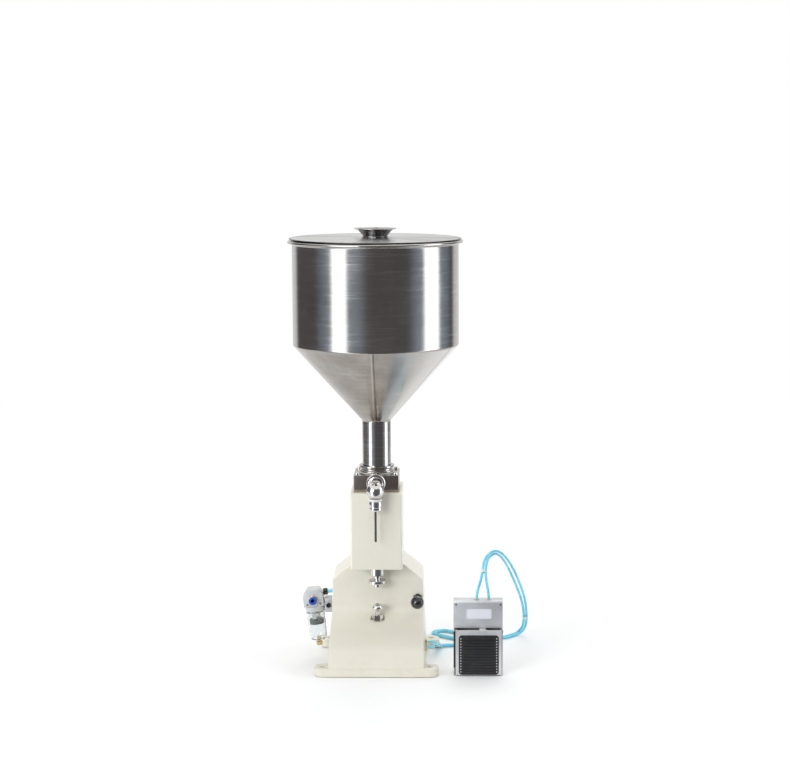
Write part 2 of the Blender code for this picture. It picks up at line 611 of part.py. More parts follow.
def outlet():
    """The round elbow in front of the block, and the nozzle below it with its own ball valve."""
    nut = [(0.0135, 0), (0.0145, 0.0010), (0.0145, 0.0107), (0.0135, 0.0117), (0.0083, 0.0117), (0.0083, 0)]
    turned(
        "outlet_nut", [(r, -z) for r, z in nut], CHROME, ring=True,
        at=(0, -BLOCK_Y - GAP - 0.0117, PORT_Z), turn=(math.pi / 2, 0, 0),
    )
    elbow = globe("outlet_elbow", BALL_BODY_R, (0, NOZZLE_Y, BALL_BODY_Z), CHROME, around=20)
    neck = rod("elbow_neck", 0.008, (0, -BLOCK_Y - 0.0006, PORT_Z), (0, NOZZLE_Y + 0.0013, PORT_Z), sides=22)
    spigot = rod("elbow_spigot", 0.006, (0, NOZZLE_Y, 0.2655), (0, NOZZLE_Y, BALL_BODY_Z + 0.0011), sides=22)
    weld(elbow, neck, spigot)
    across = rod("elbow_way", 0.004, (0, -0.030, PORT_Z), (0, NOZZLE_Y - 0.0027, PORT_Z), sides=18)
    down = rod("elbow_drop", 0.0025, (0, NOZZLE_Y, 0.260), (0, NOZZLE_Y, PORT_Z + 0.0007), sides=14)
    cut(elbow, across, down)

    at = (0, NOZZLE_Y, 0)
    sleeve("nozzle_collar", 0.0100, 0.0063, 0.2695, 0.2730, WHITE, at=at)
    shell = [
        (0.0096, 0.2692), (0.0100, 0.2688), (0.0100, 0.2565), (0.0090, 0.2545), (0.0070, 0.2535),
        (0.0021, 0.2535), (0.0021, 0.2560), (0.0063, 0.2560), (0.0063, 0.2692),
    ]
    turned("nozzle_sleeve", shell, CHROME, ring=True, at=at)
    sleeve("nozzle_needle", 0.00175, 0.0010, NEEDLE_LOW, 0.2558, STEEL, steps=16, at=at)
    globe("nozzle_ball", 0.0035, (0, 0, 0), STEEL, at=(0, NOZZLE_Y, 0.2628))
    coil("nozzle_spring", at, 0.0040, 0.00035, 0.2563, 0.2612, 2.5, STEEL)


def selector():
    """A toggle valve inside the body's side, its hexagon nut outside, and the ball-ended lever."""
    body = block("selector_valve", (0.0535, 0.0046, LEVER_Z - 0.010), (0.0664, 0.030, LEVER_Z + 0.010), ALLOY)
    neck = rod("selector_neck", 0.0040, (LEVER_X, -0.0065, LEVER_Z), (LEVER_X, 0.006, LEVER_Z), sides=24)
    weld(body, neck)
    cut(body, rod("selector_socket", 0.0030, (LEVER_X, -0.0085, LEVER_Z), (LEVER_X, 0.002, LEVER_Z), sides=24))
    hexagon, hole = circle(LEVER_X, LEVER_Z, 0.0078, 6), circle(LEVER_X, LEVER_Z, 0.0043)
    prism("selector_nut", [hexagon, hole], -0.0050, -GAP, GLOSS, along="Y")

    reach = 0.0250
    slant = (0, -math.cos(LEVER_DROP) * reach, -math.sin(LEVER_DROP) * reach)
    inner = [0.36 * c for c in slant]
    at = (LEVER_X, LEVER_Y, LEVER_Z)
    lever = rod("selector_lever", 0.0014, (0, 0, 0), slant, CHROME, sides=16, at=at)
    weld(lever, globe("lever_root", 0.0025, (0, 0, 0), at=at))
    knob = globe("selector_knob", KNOB_R, slant, GLOSS, around=18, at=at)
    cut(knob, rod("knob_bore", 0.0017, inner, [1.08 * c for c in slant], sides=16, at=at))


def air_valve():
    """The main air valve inside the body, with a spool that slides across."""
    y0, y1, z = 0.035, 0.060, 0.030
    body = block("air_valve", (-0.032, y0, 0.0030), (0.032, y1, 0.045), ALLOY)
    middle = (y0 + y1) / 2
    cut(body, rod("spool_bore", 0.0053, (-0.040, middle, z), (0.040, middle, z), sides=24))
    land, waist, half = 0.0050, 0.0032, 0.037
    profile = [(0, half), (land, half)]
    for start in (0.008, -0.018):
        profile += [(land, start + 0.010), (waist, start + 0.008), (waist, start - 0.001), (land, start - 0.003)]
    profile += [(land, -half), (0, -half)]
    turned("air_valve_spool", profile, STEEL, at=(0, middle, z), turn=(0, math.pi / 2, 0))


def air_filter():
    """The supply filter on the left: head, collar, clear bowl, drain, fittings and bracket."""
    frame = FILTER_FRAME
    low, top, wide, deep, shoulder = 0.0143, 0.0415, 0.016, 0.015, 0.009
    in_z, out_z = 0.026, 0.034
    outline = [
        (-wide, low), (wide, low), (wide, top - shoulder), (wide - 0.007, top), (0.007 - wide, top),
        (-wide, top - shoulder),
    ]
    head = prism("filter_head", [outline], -deep, deep, GREY_CAST, along="Y", parent=frame)
    bores = [
        rod("filter_in_bore", 0.0048, (0, -0.020, in_z), (0, -0.008, in_z), parent=frame),
        rod("filter_out_bore", 0.0048, (0.008, 0, out_z), (0.020, 0, out_z), parent=frame),
    ]
    cut(head, *bores)
    sleeve("filter_collar", 0.0153, 0.0108, 0.0060, 0.0140, GREY_CAST, parent=frame)
    bowl = [
        (0.0105, 0.0138), (0.0105, 0.0056), (0.0146, 0.0056), (0.0141, -0.0345), (0.0120, -0.0405),
        (0.0080, -0.0425), (0.0034, -0.0425), (0.0034, -0.0407), (0.0075, -0.0407), (0.0110, -0.0390),
        (0.0123, -0.0335), (0.0128, 0.0030), (0.0090, 0.0050), (0.0090, 0.0138),
    ]
    turned("filter_bowl", bowl, CLEAR, ring=True, parent=frame)
    rod("filter_element", 0.0070, (0, 0, -0.0077), (0, 0, 0.0120), WHITE, parent=frame)
    sleeve("filter_baffle", 0.0113, 0.0030, -0.0160, -0.0080, GLOSS, parent=frame)
    drain = [
        (0, -0.0375), (0.0030, -0.0375), (0.0030, -0.0450), (0.0048, -0.0450), (0.0048, -0.0505),
        (0.0036, -0.0515), (0, -0.0515),
    ]
    turned("filter_drain", drain, BRASS, steps=20, parent=frame)

    hexagon = circle(0, in_z, 0.0076, 6)
    inlet = prism("filter_inlet", [hexagon], -0.0195, -deep - GAP, BRASS, along="Y", parent=frame)
    ring = rod("inlet_ring", 0.0064, (0, -0.0250, in_z), (0, -0.0190, in_z), sides=24, parent=frame)
    stub = rod("inlet_stub", 0.0044, (0, -0.0160, in_z), (0, -0.0090, in_z), sides=16, parent=frame)
    weld(inlet, ring, stub)
    cut(inlet, rod("inlet_way", 0.0032, (0, -0.0260, in_z), (0, -0.0180, in_z), parent=frame))
    elbow = rod("filter_outlet", 0.0055, (wide + GAP, 0, out_z), (0.0235, 0, out_z), GLOSS, parent=frame)
    weld(elbow, rod("outlet_stub", 0.0044, (0.010, 0, out_z), (0.018, 0, out_z), sides=16, parent=frame))
    rod("filter_tube", 0.0030, (0.0238, 0, out_z), (0.0400, 0, out_z), BLUE, parent=frame)
    block("filter_bracket", (-0.0852, 0.020, 0.0745), (-0.0733, 0.040, 0.0975), ALLOY)


def foot_valve():
    """The pedal valve: channel base, housing, valve with its plunger, and the pedal with its mat."""
    x0, x1, wall = VALVE_X0, VALVE_X1, VALVE_WALL
    plate_front = VALVE_BACK - VALVE_PLATE
    channel = [
        (x0, VALVE_BACK), (x0, -0.0750), (x0 + wall, -0.0750), (x0 + wall, plate_front), (x1 - wall, plate_front),
        (x1 - wall, -0.0750), (x1, -0.0750), (x1, VALVE_BACK),
    ]
    base = prism("foot_base", [channel], 0.0, 0.0725, ALLOY)
    weld(base, block("base_heel", (x0, plate_front, 0.070), (x1, VALVE_BACK, VALVE_TOP - 0.0005)))
    pin_start, pin_end = (x0 - 0.0008, PIVOT_Y, PIVOT_Z), (x1 + 0.0008, PIVOT_Y, PIVOT_Z)
    pin_way = rod("pin_way", 0.0018, (x0 - 0.003, PIVOT_Y, PIVOT_Z), (x1 + 0.003, PIVOT_Y, PIVOT_Z), sides=20)
    cut(base, pin_way)
    rod("foot_pin", 0.0015, pin_start, pin_end, STEEL, sides=16)

    housing = block("foot_housing", (x0, -0.0725, 0.0733), (x1, plate_front - GAP, VALVE_TOP), ALLOY)
    hollow = block("housing_hollow", (x0 + wall, -0.0705, 0.0748), (x1 - wall, -0.040, VALVE_TOP - wall))
    slot = block("tail_slot", (0.1570, -0.0690, 0.070), (0.1706, -0.0440, 0.080))
    cut(housing, hollow, slot)
    valve = block("foot_valve_block", (0.1480, -0.0670, 0.0800), (0.1800, plate_front - 0.0004, 0.1095), ALLOY)
    cut(valve, rod("spool_way", 0.0044, (SPOOL_X, SPOOL_Y, 0.078), (SPOOL_X, SPOOL_Y, 0.1070), sides=24))
    for name, x in zip(("foot_fitting_a", "foot_fitting_b"), HOSE_X):
        cut(housing, rod(name + "_hole", 0.0043, (x, HOSE_Y, 0.1115), (x, HOSE_Y, 0.1185), sides=24))
        cut(valve, rod(name + "_port", 0.0030, (x, HOSE_Y, 0.1015), (x, HOSE_Y, 0.1115), sides=16))
        profile = [
            (0.0040, 0.1160), (0.0040, 0.1098), (0.0027, 0.1098), (0.0027, 0.1027), (0.0012, 0.1027),
            (0.0012, 0.1160),
        ]
        turned(name, profile, BRASS, steps=20, ring=True, at=(x, HOSE_Y, 0))

    rod("foot_plunger", 0.0041, (0, 0, 0.0765), (0, 0, 0.0965), STEEL, sides=24, at=(SPOOL_X, SPOOL_Y, 0))
    coil("foot_spring", (SPOOL_X, SPOOL_Y, 0), 0.0034, 0.00045, 0.0968, 0.1067, 4, STEEL)

    pivot = (0, PIVOT_Y, PIVOT_Z)
    px0, px1, front, back = PEDAL_X0, PEDAL_X1, PEDAL_FRONT, -0.0590
    tray = [
        (px0, back), (px0, front), (px1, front), (px1, back), (px1 - wall, back), (px1 - wall, front + 0.002),
        (px0 + wall, front + 0.002), (px0 + wall, back),
    ]
    shift = [(x, y - PIVOT_Y) for x, y in tray]
    pedal = prism("foot_pedal", [shift], 0.0012 - PIVOT_Z, 0.0715 - PIVOT_Z, ALLOY, at=pivot)
    tail = block("pedal_tail", (0.1590, -0.0770, 0.0695), (0.1686, -0.0570, 0.0730))
    lug = block("pedal_lug", (0.1600, -0.0600, 0.0720), (0.1676, -0.0570, 0.0760))
    weld(pedal, tail, lug)
    cut(pedal, pin_way)
    pad = [(x, z - PIVOT_Z) for x, z in rounded(0.1268, 0.0017, 0.1882, 0.0638, 0.005, 4)]
    prism("foot_mat", [pad], front - 0.0030 - PIVOT_Y, front - GAP - PIVOT_Y, RUBBER, along="Y", at=pivot)


def hoses():
    """Two hoses side by side, each with a short straight end square to its fitting."""
    for name, sign in (("hose_a", 1), ("hose_b", -1)):
        first, *between, last = hose_route(sign)
        tube(name, [first, *through(between, HOSE_STEP), last], HOSE_D / 2, BLUE, resolution=1)


def clear_scene():
    for obj in list(bpy.data.objects):
        bpy.data.objects.remove(obj)


clear_scene()
PARTS = collection("piston_liquid_filler")
TOOLS = collection("cutters", hidden=True)
FILTER_FRAME = bpy.data.objects.new("filter_frame", None)
FILTER_FRAME.location = FILTER_AT
FILTER_FRAME.rotation_euler = (0, FILTER_TILT, 0)
PARTS.objects.link(FILTER_FRAME)

casting()
tower()
valve_block()
pump()
stop_screw()
outlet()
selector()
air_valve()
air_filter()
foot_valve()
hoses()
hopper_and_lid()
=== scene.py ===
# %% [markdown]
# # A bench piston filler
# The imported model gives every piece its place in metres. The first cell loads it, and each later
# cell adds one thing to it: the camera, the hoses, a finish, or a piece drawn in finer detail.

# %% Load the model
import json
import math

import bmesh
import bpy
import numpy as np
from mathutils import Matrix, Vector


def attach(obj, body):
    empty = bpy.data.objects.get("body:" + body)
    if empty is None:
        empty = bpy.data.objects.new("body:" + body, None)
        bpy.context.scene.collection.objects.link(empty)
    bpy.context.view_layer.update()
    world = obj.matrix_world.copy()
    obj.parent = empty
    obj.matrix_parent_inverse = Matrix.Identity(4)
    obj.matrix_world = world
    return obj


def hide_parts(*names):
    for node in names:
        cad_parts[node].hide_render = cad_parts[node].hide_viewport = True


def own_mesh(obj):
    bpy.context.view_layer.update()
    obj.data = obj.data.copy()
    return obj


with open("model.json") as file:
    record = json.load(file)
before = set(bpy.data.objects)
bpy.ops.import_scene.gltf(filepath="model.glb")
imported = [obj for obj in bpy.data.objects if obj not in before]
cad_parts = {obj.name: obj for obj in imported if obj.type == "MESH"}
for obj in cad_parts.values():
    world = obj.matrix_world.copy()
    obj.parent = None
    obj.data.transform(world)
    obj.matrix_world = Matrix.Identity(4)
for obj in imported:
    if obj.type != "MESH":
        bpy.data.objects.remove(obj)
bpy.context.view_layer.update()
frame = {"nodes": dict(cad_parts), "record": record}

# %% [markdown]
# ## The camera
# A long lens far away keeps the hopper's sides parallel. A camera looks along its own -Z, so its
# matrix is made of three directions: right, up and the reverse of the view. A third of a degree of
# roll is turned into the first two.

# %% Place the camera
def add_object(name, data):
    """A new object in the scene, holding a mesh, a curve, a lamp or a camera."""
    obj = bpy.data.objects.new(name, data)
    bpy.context.scene.collection.objects.link(obj)
    return obj


CAMERA_AT = Vector((0.1214, -2.8975, 0.82))
YAW, PITCH, ROLL = math.radians(-1.8273), math.radians(7.66), math.radians(0.35)
SENSOR = 36
FOCAL = 1889 / 790 * SENSOR

view = Vector((math.sin(YAW) * math.cos(PITCH), math.cos(YAW) * math.cos(PITCH), -math.sin(PITCH)))
level = Vector((math.cos(YAW), -math.sin(YAW), 0))
upright = level.cross(view)
right = level * math.cos(ROLL) - upright * math.sin(ROLL)
up = upright * math.cos(ROLL) + level * math.sin(ROLL)

lens = bpy.data.cameras.new("camera")
lens.sensor_width, lens.lens, lens.clip_end = SENSOR, FOCAL, 50
turn = Matrix((right, up, -view)).transposed().to_4x4()
camera = add_object("camera", lens)
camera.matrix_world = Matrix.Translation(CAMERA_AT) @ turn
bpy.context.scene.camera = camera
print("camera", CAMERA_AT[:], "focal length", round(lens.lens, 2))

# %% [markdown]
# ## The twin air hoses
# Two 4 mm polyurethane hoses leave the foot valve side by side, arch over and fall behind it, lie in
# a loop on the bench and rise into the side of the body. The route is given once, as points midway
# between the two hoses; each row also holds the direction to the first hose and the spacing, and the
# hoses are that route moved to either side. Where they lie on the bench, x and y are enough.

# %% The hoses' shared route
LEFT = None
PAIR, LYING = 0.0046, 0.0024
ARCHING = [
    ((0.1638, -0.06, 0.1165), (-1, 0, 0), 0.0186), ((0.1638, -0.06, 0.12), (-1, 0, 0), 0.0185),
    ((0.1642, -0.059, 0.131), (-1, 0, 0), 0.015), ((0.165, -0.055, 0.1425), (-1, 0.1, 0.1), 0.0092),
    ((0.1658, -0.0492, 0.1526), (-1, 0.3, 0.3), 0.0056),
    ((0.1667, -0.0425, 0.1598), (-0.8, 0.5, 0.4), PAIR),
    ((0.1685, -0.0325, 0.1678), (-0.6, 0.4, 0.6), PAIR),
    ((0.1728, -0.0195, 0.1738), (-0.4, 0.2, 0.85), PAIR),
    ((0.1815, -0.004, 0.1762), (-0.1, 0.1, 0.95), PAIR), ((0.19, 0.011, 0.1722), (0.3, 0, 0.9), 0.0048),
    ((0.1979, 0.027, 0.162), (0.5, 0, 0.85), 0.0054), ((0.206, 0.0445, 0.147), (0.65, -0.1, 0.75), 0.0062),
    ((0.214, 0.063, 0.1283), (0.75, -0.1, 0.6), 0.0068),
    ((0.2213, 0.081, 0.1083), (0.85, -0.1, 0.5), 0.0068),
    ((0.2278, 0.098, 0.0883), (0.9, -0.2, 0.4), 0.0064),
    ((0.2327, 0.114, 0.0693), (0.9, -0.2, 0.3), 0.0056),
    ((0.2357, 0.13, 0.0495), (0.95, -0.2, 0.2), 0.0048), ((0.2367, 0.1445, 0.0315), (1, -0.2, 0.1), PAIR),
    ((0.2352, 0.156, 0.0168), (1, -0.35, 0), PAIR), ((0.2305, 0.1622, 0.0075), (0.9, -0.5, 0), PAIR),
    ((0.2235, 0.161, 0.0031), (0.75, -0.65, 0), PAIR)
]
ON_BENCH = [
    (0.2155, 0.1527), (0.206, 0.1425), (0.194, 0.135), (0.18, 0.132), (0.166, 0.1358), (0.153, 0.1445),
    (0.14, 0.155), (0.1245, 0.1672), (0.1107, 0.178), (0.0998, 0.1816), (0.0896, 0.1763), (0.086, 0.1654),
    (0.0913, 0.1552), (0.103, 0.145), (0.117, 0.1332), (0.1305, 0.1215), (0.1367, 0.1092),
    (0.1325, 0.0961), (0.1188, 0.0898), (0.1075, 0.0893)
]
ENTERING = [
    ((0.0995, 0.085, 0.0034), LEFT, PAIR), ((0.0957, 0.076, 0.0057), LEFT, PAIR),
    ((0.094, 0.066, 0.0085), LEFT, PAIR), ((0.0925, 0.056, 0.0112), LEFT, PAIR),
    ((0.091, 0.046, 0.014), (0.9, 0, 0.3), PAIR), ((0.0902, 0.0355, 0.0172), (0.7, 0, 0.6), 0.0052),
    ((0.0878, 0.0268, 0.02), (0.3, -0.1, 0.85), 0.0068),
    ((0.0835, 0.0213, 0.0221), (0.05, -0.05, 0.98), 0.0086), ((0.08, 0.02, 0.0225), (0, 0, 1), 0.009),
    ((0.0776, 0.02, 0.0225), (0, 0, 1), 0.009)
]
ROUTE = ARCHING + [((x, y, LYING), LEFT, PAIR) for x, y in ON_BENCH] + ENTERING
print(len(ROUTE), "points on the route")


# %% [markdown]
# A curve through points can be a Catmull-Rom curve: between two points it is a cubic whose slope at
# each of them runs parallel to the line joining their neighbours. It is read off at even steps,
# because evenly spaced points give an even surface when the tube is made.

# %% Hose paths
def through(points, step):
    """Cubic blend of each four neighbouring points, then even steps along the summed length."""
    p = np.vstack([2 * points[0] - points[1], points, 2 * points[-1] - points[-2]])
    t = (np.arange(12) / 12)[None, :, None]
    a, b, c, d = (p[k:len(p) - 3 + k, None] for k in range(4))
    fine = 0.5 * (2 * b + (c - a) * t + (2 * a - 5 * b + 4 * c - d) * t**2 + (3 * b - a - 3 * c + d) * t**3)
    fine = np.vstack([fine.reshape(-1, 3), points[-1]])
    run = np.r_[0, np.cumsum(np.linalg.norm(np.diff(fine, axis=0), axis=1))]
    even = np.linspace(0, run[-1], round(run[-1] / step) + 1)
    return np.stack([np.interp(even, run, fine[:, k]) for k in range(3)], 1)


def hose_path(sign):
    """The shared route plus half the spacing along the sideways direction, squared to the heading."""
    middle = np.array([row[0] for row in ROUTE])
    heading = np.vstack([middle[1] - middle[0], middle[2:] - middle[:-2], middle[-1] - middle[-2]])
    heading /= np.linalg.norm(heading, axis=1)[:, None]
    side = [(-h[1], h[0], 0) if row[1] is LEFT else row[1] for h, row in zip(heading, ROUTE)]
    side = np.array(side, float)
    side[1:-1] -= heading[1:-1] * (heading[1:-1] * side[1:-1]).sum(1)[:, None]
    side /= np.linalg.norm(side, axis=1)[:, None]
    moved = middle + side * (sign / 2 * np.array([row[2] for row in ROUTE]))[:, None]
    return np.vstack([moved[0], through(moved[1:-1], 0.0049), moved[-1]])


def length_of(path):
    return float(np.linalg.norm(np.diff(path, axis=0), axis=1).sum())


HOSE_A, HOSE_B = hose_path(1), hose_path(-1)
print("hose lengths", round(length_of(HOSE_A), 4), round(length_of(HOSE_B), 4))

# %% [markdown]
# ## Making surfaces
# Nearly every piece here is one sheet of quads: rows of points, each row joined to the next. A turned
# part has circles for rows, a plate has its outline for rows. The faces come from index arithmetic on
# the whole grid, and coinciding points are merged afterwards, so that poles and seams are closed.


# %% From rows of points to a piece
def finish_mesh(obj, sharp=34):
    """Merges points that coincide, turns the faces outwards and shades smoothly up to an angle."""
    bm = bmesh.new()
    bm.from_mesh(obj.data)
    bmesh.ops.remove_doubles(bm, verts=bm.verts, dist=2e-6)
    bmesh.ops.dissolve_degenerate(bm, edges=bm.edges, dist=1e-7)
    bmesh.ops.recalc_face_normals(bm, faces=bm.faces)
    bm.to_mesh(obj.data)
    bm.free()
    obj.data.shade_smooth()
    obj.data.set_sharp_from_angle(angle=math.radians(sharp))


def grid_faces(rows, columns, start=0, wrap=False):
    """Quads between neighbours of a rows-by-columns grid whose columns close on themselves."""
    index = start + np.arange(rows * columns).reshape(rows, columns)
    index = np.hstack([index, index[:, :1]])
    if wrap:
        index = np.vstack([index, index[:1]])
    corners = [index[:-1, :-1], index[:-1, 1:], index[1:, 1:], index[1:, :-1]]
    return np.stack(corners, -1).reshape(-1, 4).tolist()


def shell(name, *grids, wrap=False, sharp=34):
    """One piece from grids of points (rows, columns, 3); unless they wrap, the end rows get a cap."""
    points, faces, start = [], [], 0
    for grid in grids:
        rows, columns = grid.shape[:2]
        faces += grid_faces(rows, columns, start, wrap)
        if not wrap:
            faces += [list(range(start, start + columns)),
                      list(range(start + (rows - 1) * columns, start + rows * columns))]
        points.append(grid.reshape(-1, 3))
        start += rows * columns
    mesh = bpy.data.meshes.new(name)
    mesh.from_pydata(np.vstack(points).tolist(), [], faces)
    obj = add_object(name, mesh)
    finish_mesh(obj, sharp)
    return obj


# %% [markdown]
# Real edges are never knife-sharp: a small radius catches a line of light and shows the shape. This
# helper rounds the corners of any outline or profile. At each corner the arc starts where a circle of
# the wanted radius touches both sides. Lists of points are written in millimetres.

# %% Rounding corners
def mm(*rows):
    """Points written in millimetres; a third number is a count of sides and stays as it is."""
    return [tuple(value if k == 2 else value / 1000 for k, value in enumerate(row)) for row in rows]


def filleted(points, radius, closed=True, steps=5):
    """Each corner becomes an arc, tangent to both sides, of the wanted radius or what fits."""
    p = np.asarray(points, float)
    before, after = np.roll(p, 1, 0) - p, np.roll(p, -1, 0) - p
    reach = np.minimum(np.linalg.norm(before, axis=1), np.linalg.norm(after, axis=1))
    before /= np.linalg.norm(before, axis=1)[:, None]
    after /= np.linalg.norm(after, axis=1)[:, None]
    half = np.arccos(np.clip((before * after).sum(1), -1, 1)) / 2
    radius = np.minimum(np.broadcast_to(radius, len(p)), 0.49 * reach * np.tan(half))
    middle = before + after
    size = np.maximum(np.linalg.norm(middle, axis=1), 1e-9)
    centre = p + middle / size[:, None] * (radius / np.sin(half))[:, None]
    tangent = (radius / np.tan(half))[:, None]
    first, last = p + before * tangent - centre, p + after * tangent - centre
    t = np.linspace(0, 1, steps + 1)[None, :, None]
    arc = first[:, None] * (1 - t) + last[:, None] * t
    arc *= radius[:, None, None] / np.maximum(np.linalg.norm(arc, axis=2, keepdims=True), 1e-12)
    rounded = centre[:, None] + arc
    if closed:
        return rounded.reshape(-1, 2)
    return np.vstack([p[:1], rounded[1:-1].reshape(-1, 2), p[-1:]])


def rectangle(x0, y0, x1, y1, radius=0.0, steps=5):
    return filleted([(x0, y0), (x1, y0), (x1, y1), (x0, y1)], max(radius, 1e-5), steps=steps)


def toward(direction):
    """The rotation that lays a piece's own Z along a direction."""
    return Vector(direction).to_track_quat("Z", "Y").to_matrix()


print("corner test", len(rectangle(0, 0, 1, 1, 0.1)), "points")


# %% [markdown]
# A turned part is a profile swung round an axis: each profile point gives a radius and a height. A
# hexagon is turned the same way, with a radius that grows from the flat to the corner and back six
# times in a turn, so nuts, screw heads and sockets need no other tool.

# %% Turned pieces
FORWARD = (0, -1, 0)


def turned_rows(rows, at=(0, 0, 0), axis=(0, 0, 1), steps=72, spin=0.0, ripple=(0, 0)):
    """Point = at + turn of (r cos a, r sin a, h); a row's third number makes its circle a polygon."""
    rows = [tuple(row) + (0,) * (3 - len(row)) for row in rows]
    angle = np.linspace(0, 2 * np.pi, steps, endpoint=False)[None] + spin
    radius, height, sides = (np.array([row[k] for row in rows], float)[:, None] for k in range(3))
    wedge = 2 * np.pi / np.maximum(sides, 3)
    polygon = 1 / np.cos((angle - spin + wedge / 2) % wedge - wedge / 2)
    radius = radius * np.where(sides > 0, polygon, 1) * (1 + ripple[1] * np.cos(ripple[0] * angle))
    grid = np.stack([radius * np.cos(angle), radius * np.sin(angle), height + 0 * angle], -1)
    return grid @ np.array(toward(axis)).T + np.array(at)


def turned(name, rows, at=(0, 0, 0), axis=(0, 0, 1), ring=False, **how):
    return shell(name, turned_rows(rows, at, axis, **how), wrap=ring)


def loft(name, sections, along="Z", ring=False, sharp=34):
    """Outlines with equal counts of points, each at its own height along an axis, joined in order."""
    grid = np.array([[(x, y, high) for x, y in outline] for outline, high in sections])
    order = {"Z": (0, 1, 2), "Y": (0, 2, 1), "X": (2, 0, 1)}[along]
    return shell(name, grid[..., order], wrap=ring, sharp=sharp)


def inward(outline, distance):
    """Moves an anticlockwise outline inwards: each point along the mean of its two sides' normals."""
    step = np.roll(outline, -1, 0) - outline
    step /= np.maximum(np.linalg.norm(step, axis=1), 1e-12)[:, None]
    normal = np.stack([-step[:, 1], step[:, 0]], 1)
    mean = normal + np.roll(normal, 1, 0)
    mean /= np.maximum((mean**2).sum(1), 1e-9)[:, None] / 2
    return outline + mean * distance


def slab(name, outline, low, high, edge, along="Z"):
    """A plate whose rims are quarter rounds: the outline moves in as the height nears either face."""
    outline = np.asarray(outline, float)
    turn = np.linspace(0, np.pi / 2, 5)
    inset, drop = edge * (1 - np.sin(turn)), edge * (1 - np.cos(turn))
    sections = [(inward(outline, i), low + d) for i, d in zip(inset, drop)]
    sections += [(inward(outline, i), high - d) for i, d in zip(inset[::-1], drop[::-1])]
    return loft(name, sections, along)


print("helpers ready")


# %% [markdown]
# Some solids of the model already have the right shape and only want softer edges. A copy is merged,
# its flat facets are joined again, and a bevel rounds what is left.

# %% Pieces eased from the model, and how a piece is put in place
def eased(node, width):
    """A softened copy of one solid of the model."""
    obj = add_object(node + "_eased", frame["nodes"][node].data.copy())
    bm = bmesh.new()
    bm.from_mesh(obj.data)
    bmesh.ops.remove_doubles(bm, verts=bm.verts, dist=1e-6)
    bmesh.ops.dissolve_limit(bm, angle_limit=math.radians(1), verts=bm.verts, edges=bm.edges)
    bm.to_mesh(obj.data)
    bm.free()
    bevel = obj.modifiers.new("Bevel", "BEVEL")
    bevel.width, bevel.segments, bevel.limit_method = width, 2, "ANGLE"
    bevel.angle_limit = math.radians(40)
    settle(obj)
    return obj


def settle(obj):
    """Applies the modifiers and shades the result."""
    graph = bpy.context.evaluated_depsgraph_get()
    mesh = bpy.data.meshes.new_from_object(obj.evaluated_get(graph))
    obj.modifiers.clear()
    obj.data = mesh
    mesh.shade_smooth()
    mesh.set_sharp_from_angle(angle=math.radians(34))


def drill(obj, *holes):
    """Takes turned cutters away from a piece."""
    for hole in holes:
        cut = obj.modifiers.new("Hole", "BOOLEAN")
        cut.object, cut.operation, cut.solver = hole, "DIFFERENCE", "EXACT"
    settle(obj)
    for hole in holes:
        bpy.data.objects.remove(hole)
    return obj


SLOTS = {}


def fit(obj, body, material, *nodes, tilt=None, slot=None):
    """Gives a piece its finish with that finish's slot, its body and the solids it stands for. The slot
    argument is not used.
    """
    if tilt is not None:
        obj.data.transform(tilt)
    obj.data.materials.clear()
    obj.data.materials.append(material)
    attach(obj, body)
    if nodes:
        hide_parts(*nodes)
    return obj


print("fitting helpers ready")

# %% [markdown]
# ## Writing shaders as sums
# A node graph is arithmetic drawn with wires. This small class holds one output of one node, and the
# usual operators on it add Math nodes, so `1 - mask * 0.3` builds the graph it describes. Every other
# node comes from one method.


# %% The shader value
class Value:
    """One output socket of a material's graph."""

    def __init__(self, tree, socket):
        self.tree, self.socket = tree, socket

    def node(self, kind, settings, inputs, out=0):
        """Adds a node: a Value is wired to its input, anything else is set there."""
        made = self.tree.nodes.new(kind)
        for key, value in settings.items():
            setattr(made, key, value)
        for key, value in inputs.items():
            if isinstance(value, Value):
                self.tree.links.new(value.socket, made.inputs[key])
            else:
                made.inputs[key].default_value = value
        return Value(self.tree, made.outputs[out])

    def math(self, operation, a, b=0.0):
        return self.node("ShaderNodeMath", {"operation": operation}, {0: a, 1: b})

    def __add__(self, other):
        return self.math("ADD", self, other)

    def __sub__(self, other):
        return self.math("SUBTRACT", self, other)

    def __rsub__(self, other):
        return self.math("SUBTRACT", other, self)

    def __mul__(self, other):
        return self.math("MULTIPLY", self, other)

    __radd__ = __add__


# %% [markdown]
# A few words for patterns: noise on stretched coordinates gives brush lines, a smooth step gives a
# soft-edged mask, and a colour mix lays one colour over another. A finish is then a function that
# returns what varies; what stays the same is set on the shader itself.

# %% Words for patterns
def stretch(coords, scale):
    return coords.node("ShaderNodeVectorMath", {"operation": "MULTIPLY"}, {0: coords, 1: scale})


def noise(coords, scale, detail=3.0, rough=0.5):
    return coords.node("ShaderNodeTexNoise", {}, {"Vector": coords, "Scale": scale, "Detail": detail,
                                                  "Roughness": rough})


def brushed(coords, scale, detail=3.0, rough=0.5):
    """Noise on stretched coordinates: it runs long where the scale is small."""
    return noise(stretch(coords, scale), 1.0, detail, rough)


def part(coords, axis):
    return coords.node("ShaderNodeSeparateXYZ", {}, {0: coords}, out="XYZ".index(axis))


def ramp(value, low, high):
    """0 below low, 1 above high, smooth between."""
    return value.node("ShaderNodeMapRange", {"interpolation_type": "SMOOTHSTEP"},
                      {"Value": value, "From Min": low, "From Max": high})


def between(value, rise, top, fall, end):
    """1 from top to fall, with smooth sides."""
    return ramp(value, rise, top) * (1 - ramp(value, fall, end))


def mix(factor, under, over):
    """One colour over another; a colour is three numbers or a wired value."""
    under, over = ((*tone, 1) if isinstance(tone, tuple) else tone for tone in (under, over))
    return factor.node("ShaderNodeMix", {"data_type": "RGBA"}, {0: factor, 6: under, 7: over}, out=2)


